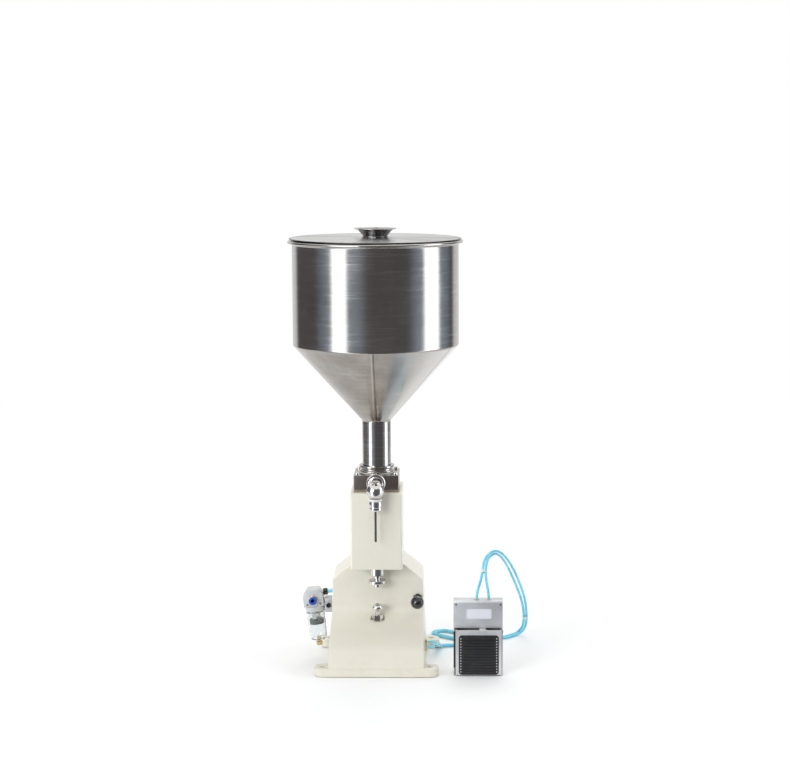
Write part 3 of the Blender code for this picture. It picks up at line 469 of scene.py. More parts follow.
def bump(height, distance, strength):
    return height.node("ShaderNodeBump", {}, {"Height": height, "Distance": distance, "Strength": strength})


def surface(colour, rough, height, distance, strength):
    """What varies over a finish: its colour, its roughness and its fine relief."""
    return {"Base Color": colour, "Roughness": rough, "Normal": bump(height, distance, strength)}


def turning(coords):
    """Degrees about the upright axis: 0 at the front, growing to the operator's right."""
    return coords.math("ARCTAN2", part(coords, "X"), part(coords, "Y") * -1.0) * (180 / math.pi)


def line(value, at, width):
    """1 on a thin line where the value equals at, falling to 0 on both sides."""
    away = value.math("ABSOLUTE", value - at)
    return 1 - ramp(away, width * 0.3, width)


def finish(name, slot, draw, **fixed):
    """A material from a function that draws what varies; fixed holds the shader's constants."""
    SLOTS[name] = slot
    made = bpy.data.materials.new(name)
    made.use_nodes = True
    tree = made.node_tree
    shader = tree.nodes["Principled BSDF"]
    for key, value in fixed.items():
        shader.inputs[key.replace("_", " ")].default_value = value
    coords = Value(tree, tree.nodes.new("ShaderNodeTexCoord").outputs["Object"])
    for key, value in draw(coords).items():
        tree.links.new(value.socket, shader.inputs[key])
    return made


print("pattern words ready")

# %% [markdown]
# ## Metals
# The hopper is spun and brushed stainless: fine lines run round it, so the noise is stretched along
# the turn and squeezed along the height. Slow clouds in colour and roughness are the handling marks
# and heat tints of thin sheet. The cone has a rolled seam up its front, drawn as one narrow line. Its
# left is painted darker and its right lighter, with a bluish band and thin lines: painted reflections.


# %% Brushed steel of the hopper
def shaded(tint, *shares):
    return tuple(tone * share for tone, share in zip(tint, shares))


def steel_tone(coords, fine, tint=(0.43, 0.405, 0.375)):
    """Slow clouds from the tint to a lighter one, under darker fine lines."""
    cloud = ramp(noise(coords, 14, 4, 0.6), 0.35, 0.7)
    colour = mix(cloud, tint, shaded(tint, 1.22, 1.24, 1.27))
    return mix(fine * 0.35, colour, shaded(tint, 0.72, 0.7, 0.68)), cloud


def hopper_steel(coords):
    """Marks and painted reflections lie one over another: each is a mask, with its strength, and the colour
    it brings.
    """
    fine = brushed(coords, (6, 6, 1500), 4, 0.65)
    coarse = brushed(coords, (14, 14, 420), 3, 0.75)
    rolled = ramp(brushed(coords, (95, 95, 3), 2), 0.35, 0.65)
    colour, cloud = steel_tone(coords, fine)
    x, y, z = (part(coords, axis) for axis in "XYZ")
    turn = turning(coords)
    cone = between(z, 0.3895, 0.3905, 0.5015, 0.503)
    front = cone * (1 - ramp(y, -0.02, -0.01))
    # Painted reflections on the cone: its left and front are darkened in dark brown blotches, its right is
    # lightened, a bluish band lies just right of the front, thin dark lines stand at both sides, and the
    # glint is a painted highlight, a light line beside the seam.
    left_dark_reflection = between(turn, -150, -100, 6, 34) * ramp(noise(coords, 24, 6, 0.7), 0.05, 0.75) * cone
    bright, blue_reflection_band = between(turn, 30, 52, 110, 140) * cone, between(turn, 10, 20, 24, 38) * cone
    side_reflection_lines = (line(turn, 66, 3.0) + line(turn, -71, 3.5)) * cone
    glint, seam = line(x, -0.0024, 0.0014) * front, line(x, 0.0008, 0.0015) * front
    slanted = coords.node("ShaderNodeMapping", {}, {"Vector": coords, "Rotation": (0.5, 0.6, 0.2)})
    scratches = ramp(brushed(slanted, (4, 900, 40), 2), 0.66, 0.72) * (1 - ramp(z, 0.495, 0.503))
    welds = line(z, 0.5035, 0.0012) + line(z, 0.3862, 0.0012)
    streaks = ramp(coarse, 0.52, 0.68)
    for mask, tone in ((rolled * 0.22, (0.36, 0.35, 0.33)), (streaks * 0.4, (0.64, 0.62, 0.6)),
                       (left_dark_reflection * 0.48, (0.16, 0.13, 0.11)), (bright * 0.9, (0.64, 0.62, 0.6)),
                       (blue_reflection_band * 0.35, (0.34, 0.38, 0.45)), (side_reflection_lines * 0.45, (0.2, 0.13, 0.1)),
                       (glint * 0.4, (0.66, 0.62, 0.58)), (seam * 0.75, (0.13, 0.09, 0.07)),
                       (scratches * 0.5, (0.36, 0.26, 0.2)), (welds * 0.45, (0.25, 0.2, 0.16))):
        colour = mix(mask, colour, tone)
    rough = 0.04 + fine * 0.08 + cloud * 0.03 + coarse * 0.15
    return surface(colour, rough, fine * 0.5 + coarse * 0.5 - seam * 2.0, 0.00006, 0.35)


HOPPER_STEEL = finish("brushed_hopper_steel", "brushed_steel", hopper_steel, Metallic=1.0)


def lid_steel(coords):
    """Spun sheet: fine rings round the middle, painted dark reflections in wedges across them, and painted
    shade on the rolled edge.
    """
    flat = stretch(coords, (1, 1, 0))
    radius = flat.node("ShaderNodeVectorMath", {"operation": "LENGTH"}, {0: flat}, out=1)
    outwards = flat.node("ShaderNodeVectorMath", {"operation": "NORMALIZE"}, {0: flat})
    rings = noise(flat.node("ShaderNodeCombineXYZ", {}, {"X": radius * 620}), 1.0)
    # Painted reflection: dark wedges across the rings.
    wedge = ramp(noise(outwards, 1.7, 1, 0.4), 0.46, 0.72)
    colour, cloud = steel_tone(coords, rings, (0.4, 0.39, 0.38))
    colour = mix(wedge * 0.7, colour, (0.09, 0.085, 0.08))
    # Painted shade: the rolled edge is darkened almost to black.
    colour = mix(ramp(radius, 0.13, 0.1308) * 0.88, colour, (0.02, 0.018, 0.016))
    return surface(colour, 0.16 + rings * 0.12 + cloud * 0.04, rings, 0.00004, 0.2)


LID_STEEL = finish("spun_lid_steel", "brushed_steel", lid_steel, Metallic=1.0)
print("hopper and lid finishes")

# %% [markdown]
# Machined blocks are ground with straight lines; small polished parts only have faint wipes and dust.
# Blasted aluminium is a fine, even grain with no direction. Each gets its own roughness and bump.


# %% Block steel, chrome, aluminium, brass
def ground_steel(coords):
    lines = brushed(coords, (30, 30, 1600), 3, 0.6)
    colour, cloud = steel_tone(coords, lines, (0.44, 0.38, 0.33))
    return surface(colour, 0.16 + lines * 0.1 + cloud * 0.05, lines, 0.00004, 0.3)


def polished(coords):
    wipe = brushed(coords, (40, 40, 120), 4, 0.6)
    pit = ramp(noise(coords, 900, 2), 0.68, 0.76)
    colour = mix(wipe * 0.4, (0.76, 0.745, 0.72), (0.56, 0.53, 0.49))
    return surface(colour, 0.06 + wipe * 0.07 + pit * 0.05, wipe - pit * 0.2, 0.00004, 0.15)


def blasted(coords):
    """An even grain; a painted highlight lightens the lip along the housing's front."""
    grain = noise(coords, 2600, 2, 0.6)
    cloud = noise(coords, 45, 4, 0.6)
    colour = mix(ramp(cloud, 0.3, 0.7), (0.56, 0.57, 0.58), (0.64, 0.65, 0.67))
    colour = mix(ramp(noise(coords, 700, 2, 0.7), 0.55, 0.75) * 0.35, colour, (0.62, 0.63, 0.64))
    # Painted highlight: a light line along the top lip of the housing's front.
    lip_highlight = line(part(coords, "Z"), 0.1144, 0.0018) * (1 - ramp(part(coords, "Y"), -0.0724, -0.0715))
    colour = mix(lip_highlight * 0.8, colour, (0.88, 0.88, 0.88))
    return surface(colour, 0.34 + grain * 0.16 + cloud * 0.06, grain, 0.00008, 0.55)


def satin_brass(coords):
    lines = brushed(coords, (200, 200, 1800))
    tarnish = ramp(noise(coords, 160, 4, 0.6), 0.4, 0.75)
    colour = mix(tarnish * 0.5, (0.72, 0.58, 0.33), (0.46, 0.36, 0.22))
    return surface(colour, 0.22 + lines * 0.14 + tarnish * 0.1, lines, 0.00003, 0.4)


def drawn_needle(coords):
    draw = brushed(coords, (1600, 1600, 30))
    colour = mix(draw * 0.5, (0.085, 0.085, 0.08), (0.16, 0.155, 0.15))
    return surface(colour, 0.3 + draw * 0.15, draw, 0.00003, 0.3)


def folded_aluminium(coords):
    """Satin sheet: fine rolling lines over slow clouds."""
    grain = brushed(coords, (60, 60, 2200), 3, 0.6)
    cloud = ramp(noise(coords, 40, 4, 0.6), 0.3, 0.7)
    colour = mix(cloud, (0.66, 0.665, 0.67), (0.76, 0.765, 0.77))
    return surface(colour, 0.26 + grain * 0.14, grain, 0.00005, 0.4)


NEEDLE = finish("drawn_needle_steel", "brushed_steel", drawn_needle, Metallic=1.0)
PEDAL = finish("folded_pedal_aluminium", "aluminium", folded_aluminium, Metallic=0.4)
BLOCK_STEEL = finish("ground_block_steel", "brushed_steel", ground_steel, Metallic=1.0)
CHROME = finish("polished_chrome", "chrome", polished, Metallic=1.0)
ALUMINIUM = finish("blasted_aluminium", "aluminium", blasted, Metallic=0.55)
BRASS = finish("satin_brass", "brass", satin_brass, Metallic=1.0)
print("block, chrome, aluminium, brass, needle and pedal finishes")

# %% [markdown]
# ## Paint, plastic, rubber and hose
# The body wears a thick cream enamel. Sprayed enamel is never flat: it has the slow ripple called
# orange peel, a slight change of tone, and some dust low down. A painted shade also darkens the lower
# body and the flange. Rubber is almost black and takes no highlight; the hose is a clear blue plastic
# that lets a little light in.


# %% Cream enamel
def cream_enamel(coords):
    peel = noise(coords, 420, 3, 0.55)
    tone = noise(coords, 9, 4, 0.6)
    grime = ramp(noise(coords, 60, 5, 0.7), 0.45, 0.75) * (1 - ramp(part(coords, "Z"), 0.004, 0.05))
    colour = mix(ramp(tone, 0.3, 0.7), (0.85, 0.805, 0.68), (0.9, 0.86, 0.735))
    colour = mix(grime * 0.18, colour, (0.52, 0.47, 0.38))
    # Painted shade: the body is darkened smoothly below about 9 cm, flange included.
    colour = mix((1 - ramp(part(coords, "Z"), 0.055, 0.09)) * 0.4, colour, (0.6, 0.57, 0.475))
    return surface(colour, 0.3 + peel * 0.1 + grime * 0.15, peel, 0.0001, 0.3)


def grey_enamel(coords):
    grain = noise(coords, 1400, 3, 0.6)
    tone = ramp(noise(coords, 60), 0.35, 0.7)
    colour = mix(tone, (0.6, 0.61, 0.61), (0.7, 0.71, 0.71))
    return surface(colour, 0.36 + grain * 0.12, grain, 0.0001, 0.45)


CREAM = finish("cream_enamel", "cream_paint", cream_enamel, Coat_Weight=0.25, Coat_Roughness=0.12)
GREY_CASTING = finish("grey_cast_enamel", "grey_casting", grey_enamel, Coat_Weight=0.1)
print("enamels")


# %% Plastics, rubber and clear parts
def black_rubber(coords):
    grain = noise(coords, 1800, 3, 0.6)
    dust = ramp(noise(coords, 70, 4, 0.65), 0.5, 0.8)
    colour = mix(dust * 0.5, (0.012, 0.012, 0.013), (0.045, 0.044, 0.042))
    return surface(colour, 0.3 + grain * 0.2 + dust * 0.15, grain, 0.0001, 0.5)


def black_gloss(coords):
    swirl = noise(coords, 220)
    colour = mix(swirl * 0.4, (0.01, 0.01, 0.011), (0.022, 0.022, 0.024))
    return surface(colour, 0.08 + swirl * 0.1, swirl, 0.00003, 0.2)


def white_nylon(coords):
    grain = noise(coords, 700)
    colour = mix(grain * 0.5, (0.84, 0.84, 0.81), (0.74, 0.74, 0.7))
    return surface(colour, 0.32 + grain * 0.15, grain, 0.00005, 0.4)


def collet_blue(coords):
    grain = noise(coords, 900)
    colour = mix(grain * 0.5, (0.022, 0.095, 0.56), (0.045, 0.15, 0.64))
    return surface(colour, 0.28 + grain * 0.15, grain, 0.00004, 0.3)


def blue_hose(coords):
    draw_lines = brushed(coords, (300, 300, 300))
    haze = ramp(noise(coords, 35), 0.35, 0.7)
    colour = mix(haze, (0.11, 0.62, 0.83), (0.26, 0.78, 0.92))
    return surface(colour, 0.2 + draw_lines * 0.12, draw_lines, 0.00003, 0.25)


def clear_bowl(coords):
    ripple = brushed(coords, (120, 120, 60))
    return {"Roughness": 0.03 + ripple * 0.06, "Normal": bump(ripple, 0.00006, 0.2)}


RUBBER = finish("ribbed_black_rubber", "black_rubber", black_rubber, Specular_IOR_Level=0.5)
GLOSS = finish("black_gloss_plastic", "black_plastic", black_gloss, Coat_Weight=0.6, Coat_Roughness=0.05)
WHITE = finish("white_nylon", "white_plastic", white_nylon)
COLLET = finish("collet_blue_acetal", "blue_tube", collet_blue)
BLUE = finish("blue_polyurethane", "blue_tube", blue_hose, Subsurface_Weight=0.15, Subsurface_Scale=0.002,
              Coat_Weight=0.3)
CLEAR = finish("clear_polycarbonate", "clear_bowl", clear_bowl, Base_Color=(0.94, 0.97, 0.97, 1),
               Transmission_Weight=0.92, IOR=1.35)
print("plastics")

# %% [markdown]
# ## Hoses and their ties
# A hose is a Blender curve with a round bevel, because its own line then is its centreline and can be
# measured. The ties are small white straps: a flat band pulled round both hoses, with a square head
# to one side.


# %% Hose curves
def hose(name, path):
    curve = bpy.data.curves.new(name, "CURVE")
    curve.dimensions, curve.bevel_depth, curve.bevel_resolution = "3D", 0.002, 6
    curve.use_fill_caps = True
    spline = curve.splines.new("POLY")
    spline.points.add(len(path) - 1)
    spline.points.foreach_set("co", np.c_[path, np.ones(len(path))].ravel())
    spline.use_smooth = True
    curve.materials.append(BLUE)
    obj = add_object(name, curve)
    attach(obj, "root")
    return obj


def tie(name, near):
    """Band: the outline of two circles with straight sides, swept in a short rectangle; head: a block."""
    k = int(np.argmin(np.linalg.norm(HOSE_A - near, axis=1)))
    a, b = HOSE_A[k], HOSE_B[np.argmin(np.linalg.norm(HOSE_B - HOSE_A[k], axis=1))]
    along = Vector(HOSE_A[k + 1] - HOSE_A[k - 1]).normalized()
    across = Vector(a - b)
    across = (across - along * across.dot(along)).normalized()
    out = along.cross(across)
    half, r = np.linalg.norm(a - b) / 2, 0.0021
    turn = np.linspace(0, 2 * np.pi, 40, endpoint=False)
    ring = np.stack([np.where(np.cos(turn) > 0, half, -half), 0 * turn], 1)
    unit = np.stack([np.cos(turn), np.sin(turn)], 1)
    loops = [(r, -0.0011), (r + 0.0005, -0.0011), (r + 0.0006, 0), (r + 0.0005, 0.0011), (r, 0.0011)]
    band = np.array([[(*(p + u * size), high) for p, u in zip(ring, unit)] for size, high in loops])
    square = rectangle(-0.0019, r, 0.0019, r + 0.003, 0.0005)
    head = np.array([[(x, y, high) for x, y in inward(square, i)] for i, high in
                     mm((0.4, -1.9), (0, -1.5), (0, 1.5), (0.4, 1.9))])
    frame_of = np.array([across, out, along])
    middle = (a + b) / 2
    obj = shell(name, band @ frame_of + middle, wrap=True)
    extra = shell(name + "_head", head @ frame_of + middle)
    for piece in (obj, extra):
        fit(piece, "root", WHITE)
    return [obj, extra]


ties = [tie("tie_upper", (0.1668, -0.0475, 0.1572)), tie("tie_lower", (0.2365, 0.12, 0.02)),
        tie("tie_floor", (0.0957, 0.076, 0.0057))]
hose_a, hose_b = hose("air_hose_a", HOSE_A), hose("air_hose_b", HOSE_B)
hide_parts("hose_a")
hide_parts("hose_b")
print("two hoses and", len(ties), "ties")

# %% [markdown]
# ## The hopper
# One profile runs down the outside, under the ferrule and up the bore, so the sheet has a real
# thickness. The rim is rolled over a wire, which makes the round bead; welds join cylinder, cone and
# neck, and each is a soft corner.

# %% Hopper
RIM_Z = 0.6645
bead = np.radians(np.linspace(88, -90, 14))
outside = np.r_[[(0.1305, RIM_Z - 0.0005)],
                np.stack([0.1328 + 0.0022 * np.cos(bead), RIM_Z - 0.0022 + 0.0022 * np.sin(bead)], 1)]
down = filleted(mm((131, 660), (128, 658.8), (128, 504), (22.5, 386), (22.5, 316)),
                [0, 0.002, 0.004, 0.004, 0], closed=False)
ferrule = filleted(mm((22.5, 316), (27.5, 316), (27.5, 313), (25.6, 311.8), (25.6, 309.6), (27.5, 308.2),
                      (27.5, 306), (21, 306)), 0.0006, closed=False, steps=4)
bore = filleted(mm((21, 306), (21, 386.5), (126.5, 504.7), (126.5, 659), (130.5, 664)),
                [0, 0.004, 0.004, 0.004, 0], closed=False)
hopper = turned("hopper_spun", np.vstack([outside, down[1:], ferrule[1:], bore[1:-1]]), ring=True,
                steps=192)
fit(hopper, "root", HOPPER_STEEL, "hopper")
print("hopper", len(hopper.data.polygons), "faces")

# %% [markdown]
# ## Lid and its cup handle
# The lid is spun sheet with a low dome and a rolled edge, and lies a little askew. Its handle is a
# flared cup with a thin lip, held by a screw and washer in its floor. Both are turned upright and
# then tilted by the lid's own small angle.

# %% Lid
LID_R, EDGE_R, TILT = 0.1322, 0.001, math.radians(0.45)
lid_axis = Matrix.Rotation(math.radians(35), 3, "Z") @ Vector((1, 0, 0))
LID_FRAME = (Matrix.Translation((0, 0, RIM_Z + 0.0003 + EDGE_R + LID_R * math.sin(TILT)))
             @ Matrix.Rotation(TILT, 4, lid_axis))
roll = np.radians(np.linspace(80, -80, 9))
dome = np.array(mm((0, 2.2), (45, 2), (95, 1.3), (118, 0.6), (125, 0.9)))
rim = np.stack([LID_R - EDGE_R + EDGE_R * np.cos(roll), EDGE_R * np.sin(roll)], 1)
lid = turned("lid_spun", np.vstack([dome, rim, dome[::-1] - (0, 0.0012)]), steps=144)
fit(lid, "lid", LID_STEEL, "lid", tilt=LID_FRAME)
print("lid", len(lid.data.polygons), "faces")

# %% Cup handle, with its screw and three rivets
cup = filleted(mm((16.8, 4), (26.2, 15.6), (32.5, 15.8), (32.5, 15), (27.2, 14.1), (18.5, 4), (18.5, 2.5),
                  (4, 2.5), (4, 4)),
               [0.0015, 0.0015, 0.0003, 0.0003, 0.002, 0.001, 0.0003, 0.0003, 0.0003], steps=3)
handle = turned("lid_cup", cup, ring=True, steps=96)
fit(handle, "lid", LID_STEEL, "lid_knob", tilt=LID_FRAME)
screw_rows = mm((0.1, 4.8, 6), (1.4, 4.8, 6), (1.4, 7.2, 6), (3, 7.3), (3.6, 6.6), (3.8, 4.3), (6.2, 4.3),
                (6.4, 4.2), (6.4, 4.02), (0.1, 4.02))
fit(turned("lid_cup_screw", screw_rows), "lid", CHROME, tilt=LID_FRAME)
dot = mm((0.1, 1.6), (0.8, 1.4), (1.4, 0.8), (1.6, 0), (0.1, 0))
for i, angle in enumerate(np.radians([-150, -90, -30, 30, 90, 150])):
    at = (0.0222 * math.cos(angle), 0.0222 * math.sin(angle), 0.002)
    fit(turned(f"lid_rivet_{i}", dot, at=at, steps=20), "lid", CHROME, tilt=LID_FRAME)
print("handle and rivets")

# %% [markdown]
# ## Valve block
# A solid ground block stands half out of the cover. The hopper sits on its top, and four screws hold
# it down at the corners. Its wider foot is under the cover.


# %% Valve block and its screws
def cap_screw(name, at, axis, radius, height, material=CHROME, tilt=None):
    """A socket head: rim with a small round, then down the hexagonal socket to its floor."""
    r, h = radius, height
    rows = [(0.0001, 0), (r, 0), (r, 0.8 * h), (0.96 * r, 0.94 * h), (0.86 * r, h), (0.52 * r, h, 6),
            (0.5 * r, 0.96 * h, 6), (0.5 * r, 0.45 * h, 6), (0.0001, 0.4 * h, 6)]
    fit(turned(name, rows, at=at, axis=axis, steps=48), "root", material, tilt=tilt)


block_top = slab("manifold_block", rectangle(-0.035, -0.033, 0.035, 0.033, 0.0012), 0.275, 0.304, 0.0007)
fit(block_top, "root", BLOCK_STEEL, "valve_block")
block_foot = slab("manifold_foot", rectangle(-0.0365, -0.0425, 0.0365, 0.034, 0.0012), 0.264, 0.2757,
                  0.0005)
fit(block_foot, "root", BLOCK_STEEL, "valve_block")
for i, (x, y) in enumerate([(-1, -1), (1, -1), (1, 1), (-1, 1)]):
    cap_screw(f"block_screw_{i}", (x * 0.0295, y * 0.0275, 0.3038), (0, 0, 1), 0.0034, 0.0034)
print("valve block")

# %% [markdown]
# ## Pump cover
# The cover is folded from 2 mm sheet: a square tube with soft corners, a flat top with a square mouth
# for the block, and nothing below. Its skin is one closed loop of outlines, up the outside, across
# the top, and down the inside.

# %% Cover
bend = np.linspace(0, np.pi / 2, 6)
outer, inner = rectangle(-0.04, -0.045, 0.04, 0.06, 0.003), rectangle(-0.038, -0.043, 0.038, 0.058, 0.0012)
mouth = rectangle(-0.0353, -0.0333, 0.0353, 0.0333, 0.0012)
TOP, FOOT = 0.278, 0.1583
sections = [(inward(outer, 0.0004), FOOT), (outer, FOOT + 0.0004)]
sections += [(inward(outer, 0.0016 * (1 - math.cos(t))), TOP - 0.0016 * (1 - math.sin(t))) for t in bend]
sections += [(inward(mouth, -0.0004), TOP), (mouth, TOP - 0.0004), (mouth, TOP - 0.002),
             (inner, TOP - 0.002), (inner, FOOT)]
cover = loft("pump_cover", sections, ring=True)
fit(cover, "root", CREAM, "tower_cover")
print("cover", len(cover.data.polygons), "faces")

# %% [markdown]
# ## Body and flange
# The casting is lofted from outlines stacked up its height. Two profiles say how deep and how wide it
# is at each height: a straight front that leans out below a crease, and sides that turn in at two
# shoulders. Rounded profiles make the soft edges of a sand casting.

# %% Body shell
front = filleted(mm((-88.5, 11), (-75, 40), (0, 83), (0, 158), (20, 158)),
                 [0, 0.012, 0.01, 0.0022, 0], closed=False, steps=8)
wide = filleted(mm((74, 11), (71, 133), (40, 158), (0, 158)), [0, 0.004, 0.004, 0], closed=False, steps=8)
shoulder = np.r_[np.linspace(0.011, 0.127, 30), np.linspace(0.1285, 0.1557, 24),
                 0.158 - 0.0022 * (1 - np.sin(np.linspace(0.3, np.pi / 2, 7)))]
sections = []
for z in shoulder:
    y = np.interp(z, front[:, 1], front[:, 0])
    x = np.interp(z, wide[:, 1], wide[:, 0])
    sections.append((rectangle(-x, y, x, 0.0958, 0.0014, steps=6), z))
body = loft("body_shell", sections, sharp=50)
fit(body, "root", CREAM, "body_casting")
print("body", len(body.data.polygons), "faces")

# %% [markdown]
# The flange is a plate with a waist and four round ears, drilled for bench bolts. Its outline is a
# polygon with every corner rounded by its own radius, so the ears flow into the waist.

# %% Flange with ears
WAIST_R, EAR_R = 0.006, 0.0152
ears = mm((77, -58), (96, -58), (96, -90), (-96, -90), (-96, -58), (-77, -58), (-77, 81), (-96, 81),
          (-96, 113), (96, 113), (96, 81), (77, 81))
radii = [WAIST_R, *[EAR_R] * 4, WAIST_R] * 2
flange = slab("base_flange", filleted(ears, radii, steps=10)[::-1], 0.0, 0.013, 0.0018)
bolt_hole = mm((4.5, -10), (4.5, 11.8), (7, 14.5))
drill(flange, *[turned("hole", bolt_hole, at=(x, y, 0), steps=40) for x in (-0.082, 0.082)
                for y in (-0.074, 0.097)])
fit(flange, "root", CREAM, "body_casting")
print("flange", len(flange.data.polygons), "faces")

# %% Stop seat, rear cover and bottom plate
PUMP = (0, -0.017, 0)
LEVER = (0.0625, 0.0, 0.103)
drill(body, turned("hole_stop", mm((11.3, 71), (11.3, 110)), at=PUMP, steps=64),
      turned("hole_lever", mm((4.5, -4), (4.5, 6)), at=LEVER, axis=(0, 1, 0), steps=40))
rear = eased("rear_cover", 0.0005)
fit(rear, "root", CREAM, "rear_cover")
rear_screws = mm((-66, 22), (66, 22), (-63, 125), (63, 125), (0, 150), (0, 22))
for i, (x, z) in enumerate(rear_screws):
    cap_screw(f"rear_screw_{i}", (x, 0.0984, z), (0, 1, 0), 0.003, 0.0016)
sole = eased("bottom_plate", 0.0004)
fit(sole, "root", BLOCK_STEEL, "bottom_plate")
print("rear cover and sole")

# %% [markdown]
# ## Piston rod and stroke stop
# The rod comes out under the cover and carries a hard disc. Below it stands the stop screw: a domed
# head with a hexagon socket on a threaded stem, locked by a nut on the casting. Turning it up or down
# sets how far the rod can travel.

# %% Rod, disc, screw and nut
rod = turned("rod_turned", mm((0.1, 263), (4.9, 263), (4.9, 253.1), (8, 253.1), (8, 202), (11, 202),
                              (11, 144.2), (10.4, 143.6), (4.5, 143.6), (4.5, 124.9), (4, 124.5),
                              (0.1, 124.5)), at=PUMP, steps=80)
fit(rod, "piston", CHROME, "piston_rod")
disc = filleted(mm((4.8, 130.8), (13.5, 130.8), (14, 131.8), (14, 135.2), (13, 136.2),
                   (4.8, 136.2)), 0.0004, steps=3)
fit(turned("stop_disc_turned", disc, at=PUMP, ring=True, steps=80), "piston", CHROME, "stop_disc")
head = np.radians(np.linspace(8, 62, 8))
dome = np.stack([0.0085 * np.cos(head), 0.0915 + 0.0065 * np.sin(head)], 1)
thread = np.arange(0, 30)
stem = np.stack([np.where(thread % 2, 0.0036, 0.004), 0.0895 - thread * 0.000625], 1)
screw = [*mm((0.1, 93.8, 6), (2.5, 93.8, 6), (2.5, 97.2, 6)), *dome[::-1],
         *mm((8.5, 91), (7.8, 90), (4.2, 89.9)), *stem,
         *mm((4, 70), (4, 29.7), (2.5, 29.5), (2.5, 25.3), (0.1, 25.3))]
fit(turned("stop_screw_turned", screw, at=PUMP, steps=72), "stop_screw", CHROME, "stop_screw")
print("stop screw")


# %% Hexagon nuts
def nut(name, at, axis, flat, low, high, bore, spin=0.0):
    """Chamfered hexagon: round rows at both faces, hexagonal rows between, and the bore."""
    c = 0.12 * flat
    rows = [(bore, low), (0.96 * flat, low), (flat * 0.995, low + 0.2 * c, 6), (flat, low + c, 6),
            (flat, high - c, 6), (flat * 0.995, high - 0.2 * c, 6), (0.96 * flat, high), (bore, high)]
    return turned(name, rows, at=at, axis=axis, ring=True, steps=72, spin=spin)


jam_nut = nut("jam_nut_hex", PUMP, (0, 0, 1), 0.00736, 0.0713, 0.08, 0.0043, 0.5)
fit(jam_nut, "root", CHROME, "jam_nut", slot="brushed_steel")
print("jam nut")

# %% [markdown]
# ## Outlet and nozzle
# A polished ball joins the level outlet to the hanging nozzle. A knurled nut holds it to the block, a
# white collar seals it, and a thin needle drips the product.

# %% Ball elbow, nut, collar, sleeve and needle
arc = np.radians(np.linspace(89.9, -89.9, 40))
ball = turned_rows(0.01375 * np.stack([np.cos(arc), np.sin(arc)], 1), at=(0, -0.062, 0.2853), steps=80)
neck = turned_rows(mm((7.8, 0), (8, 0.4), (8, 20)), at=(0, -0.0336, 0.2935), axis=FORWARD)
spigot = turned_rows(mm((6, 0), (6, 19)), at=(0, -0.062, 0.2656))
fit(shell("ball_elbow", ball, neck, spigot), "root", CHROME, "outlet_elbow")
ring = filleted(mm((8.3, 0), (13.5, 0), (14.5, 1), (14.5, 10.7), (13.5, 11.7),
                   (8.3, 11.7)), 0.0003, steps=2)
knurled = turned("outlet_nut_knurled", ring, at=(0, -0.0333, 0.2935), axis=FORWARD, ring=True, steps=288,
                 ripple=(72, 0.008))
fit(knurled, "root", CHROME, "outlet_nut")
TIP = (0, -0.062, 0)
collar = filleted(mm((6.3, 269.5), (10, 269.5), (10, 273), (6.3, 273)), 0.0005, steps=3)
fit(turned("nozzle_seal", collar, at=TIP, ring=True), "root", WHITE, "nozzle_collar")
cap = filleted(mm((2.1, 253.5), (7, 253.5), (9, 254.5), (10, 256.5), (10, 260), (9.6, 260.4), (10, 260.8),
                  (10, 269.2), (6.3, 269.2), (6.3, 256), (2.1, 256)), 0.0004, steps=3)
fit(turned("nozzle_cap", cap, at=TIP, ring=True, steps=80), "root", CHROME, "nozzle_sleeve")
needle = mm((1, 206), (1.5, 206), (1.75, 206.3), (1.75, 255.8), (1, 255.8))
fit(turned("needle_tube", needle, at=TIP, ring=True, steps=32), "root", NEEDLE, "nozzle_needle")
print("outlet")

# %% [markdown]
# ## Selector lever
# A small toggle comes out of the front through a hexagon nut. Its ball is phenolic, glossy black, and
# hangs a little below the pivot.

# %% Lever and ball
DROP = math.radians(2)
slant = Vector((0, -math.cos(DROP), -math.sin(DROP)))
PIVOT = Vector((0.0625, -0.002, 0.103))
ball_at = PIVOT + slant * 0.025
selector_nut = nut("selector_nut_hex", LEVER, FORWARD, 0.00676, 0.0003, 0.005, 0.0043)
fit(selector_nut, "root", GLOSS, "selector_nut")
stick = mm((0.1, -1.8), (1.8, -1.2), (2.4, 0), (1.8, 1.4), (1.4, 2.2), (1.4, 17), (0.1, 17))
fit(turned("lever_stick", stick, at=PIVOT, axis=slant, steps=40), "selector", CHROME, "selector_lever")
arc = np.radians(np.linspace(89.9, -58, 34))
knob = [*(0.01035 * np.stack([np.cos(arc), np.sin(arc)], 1)),
        *mm((5, -9.4), (3, -9.7), (1.8, -9.7), (1.8, -8), (0.1, -8))]
fit(turned("lever_ball", knob, at=ball_at, axis=slant, steps=64), "selector", GLOSS, "selector_knob")
print("lever")

# %% [markdown]
# ## Air filter
# The supply filter leans a little on its bracket. Its head is a die casting with sloping shoulders,
# and a ribbed collar screws a clear bowl to it; the element and its baffle show through the bowl.

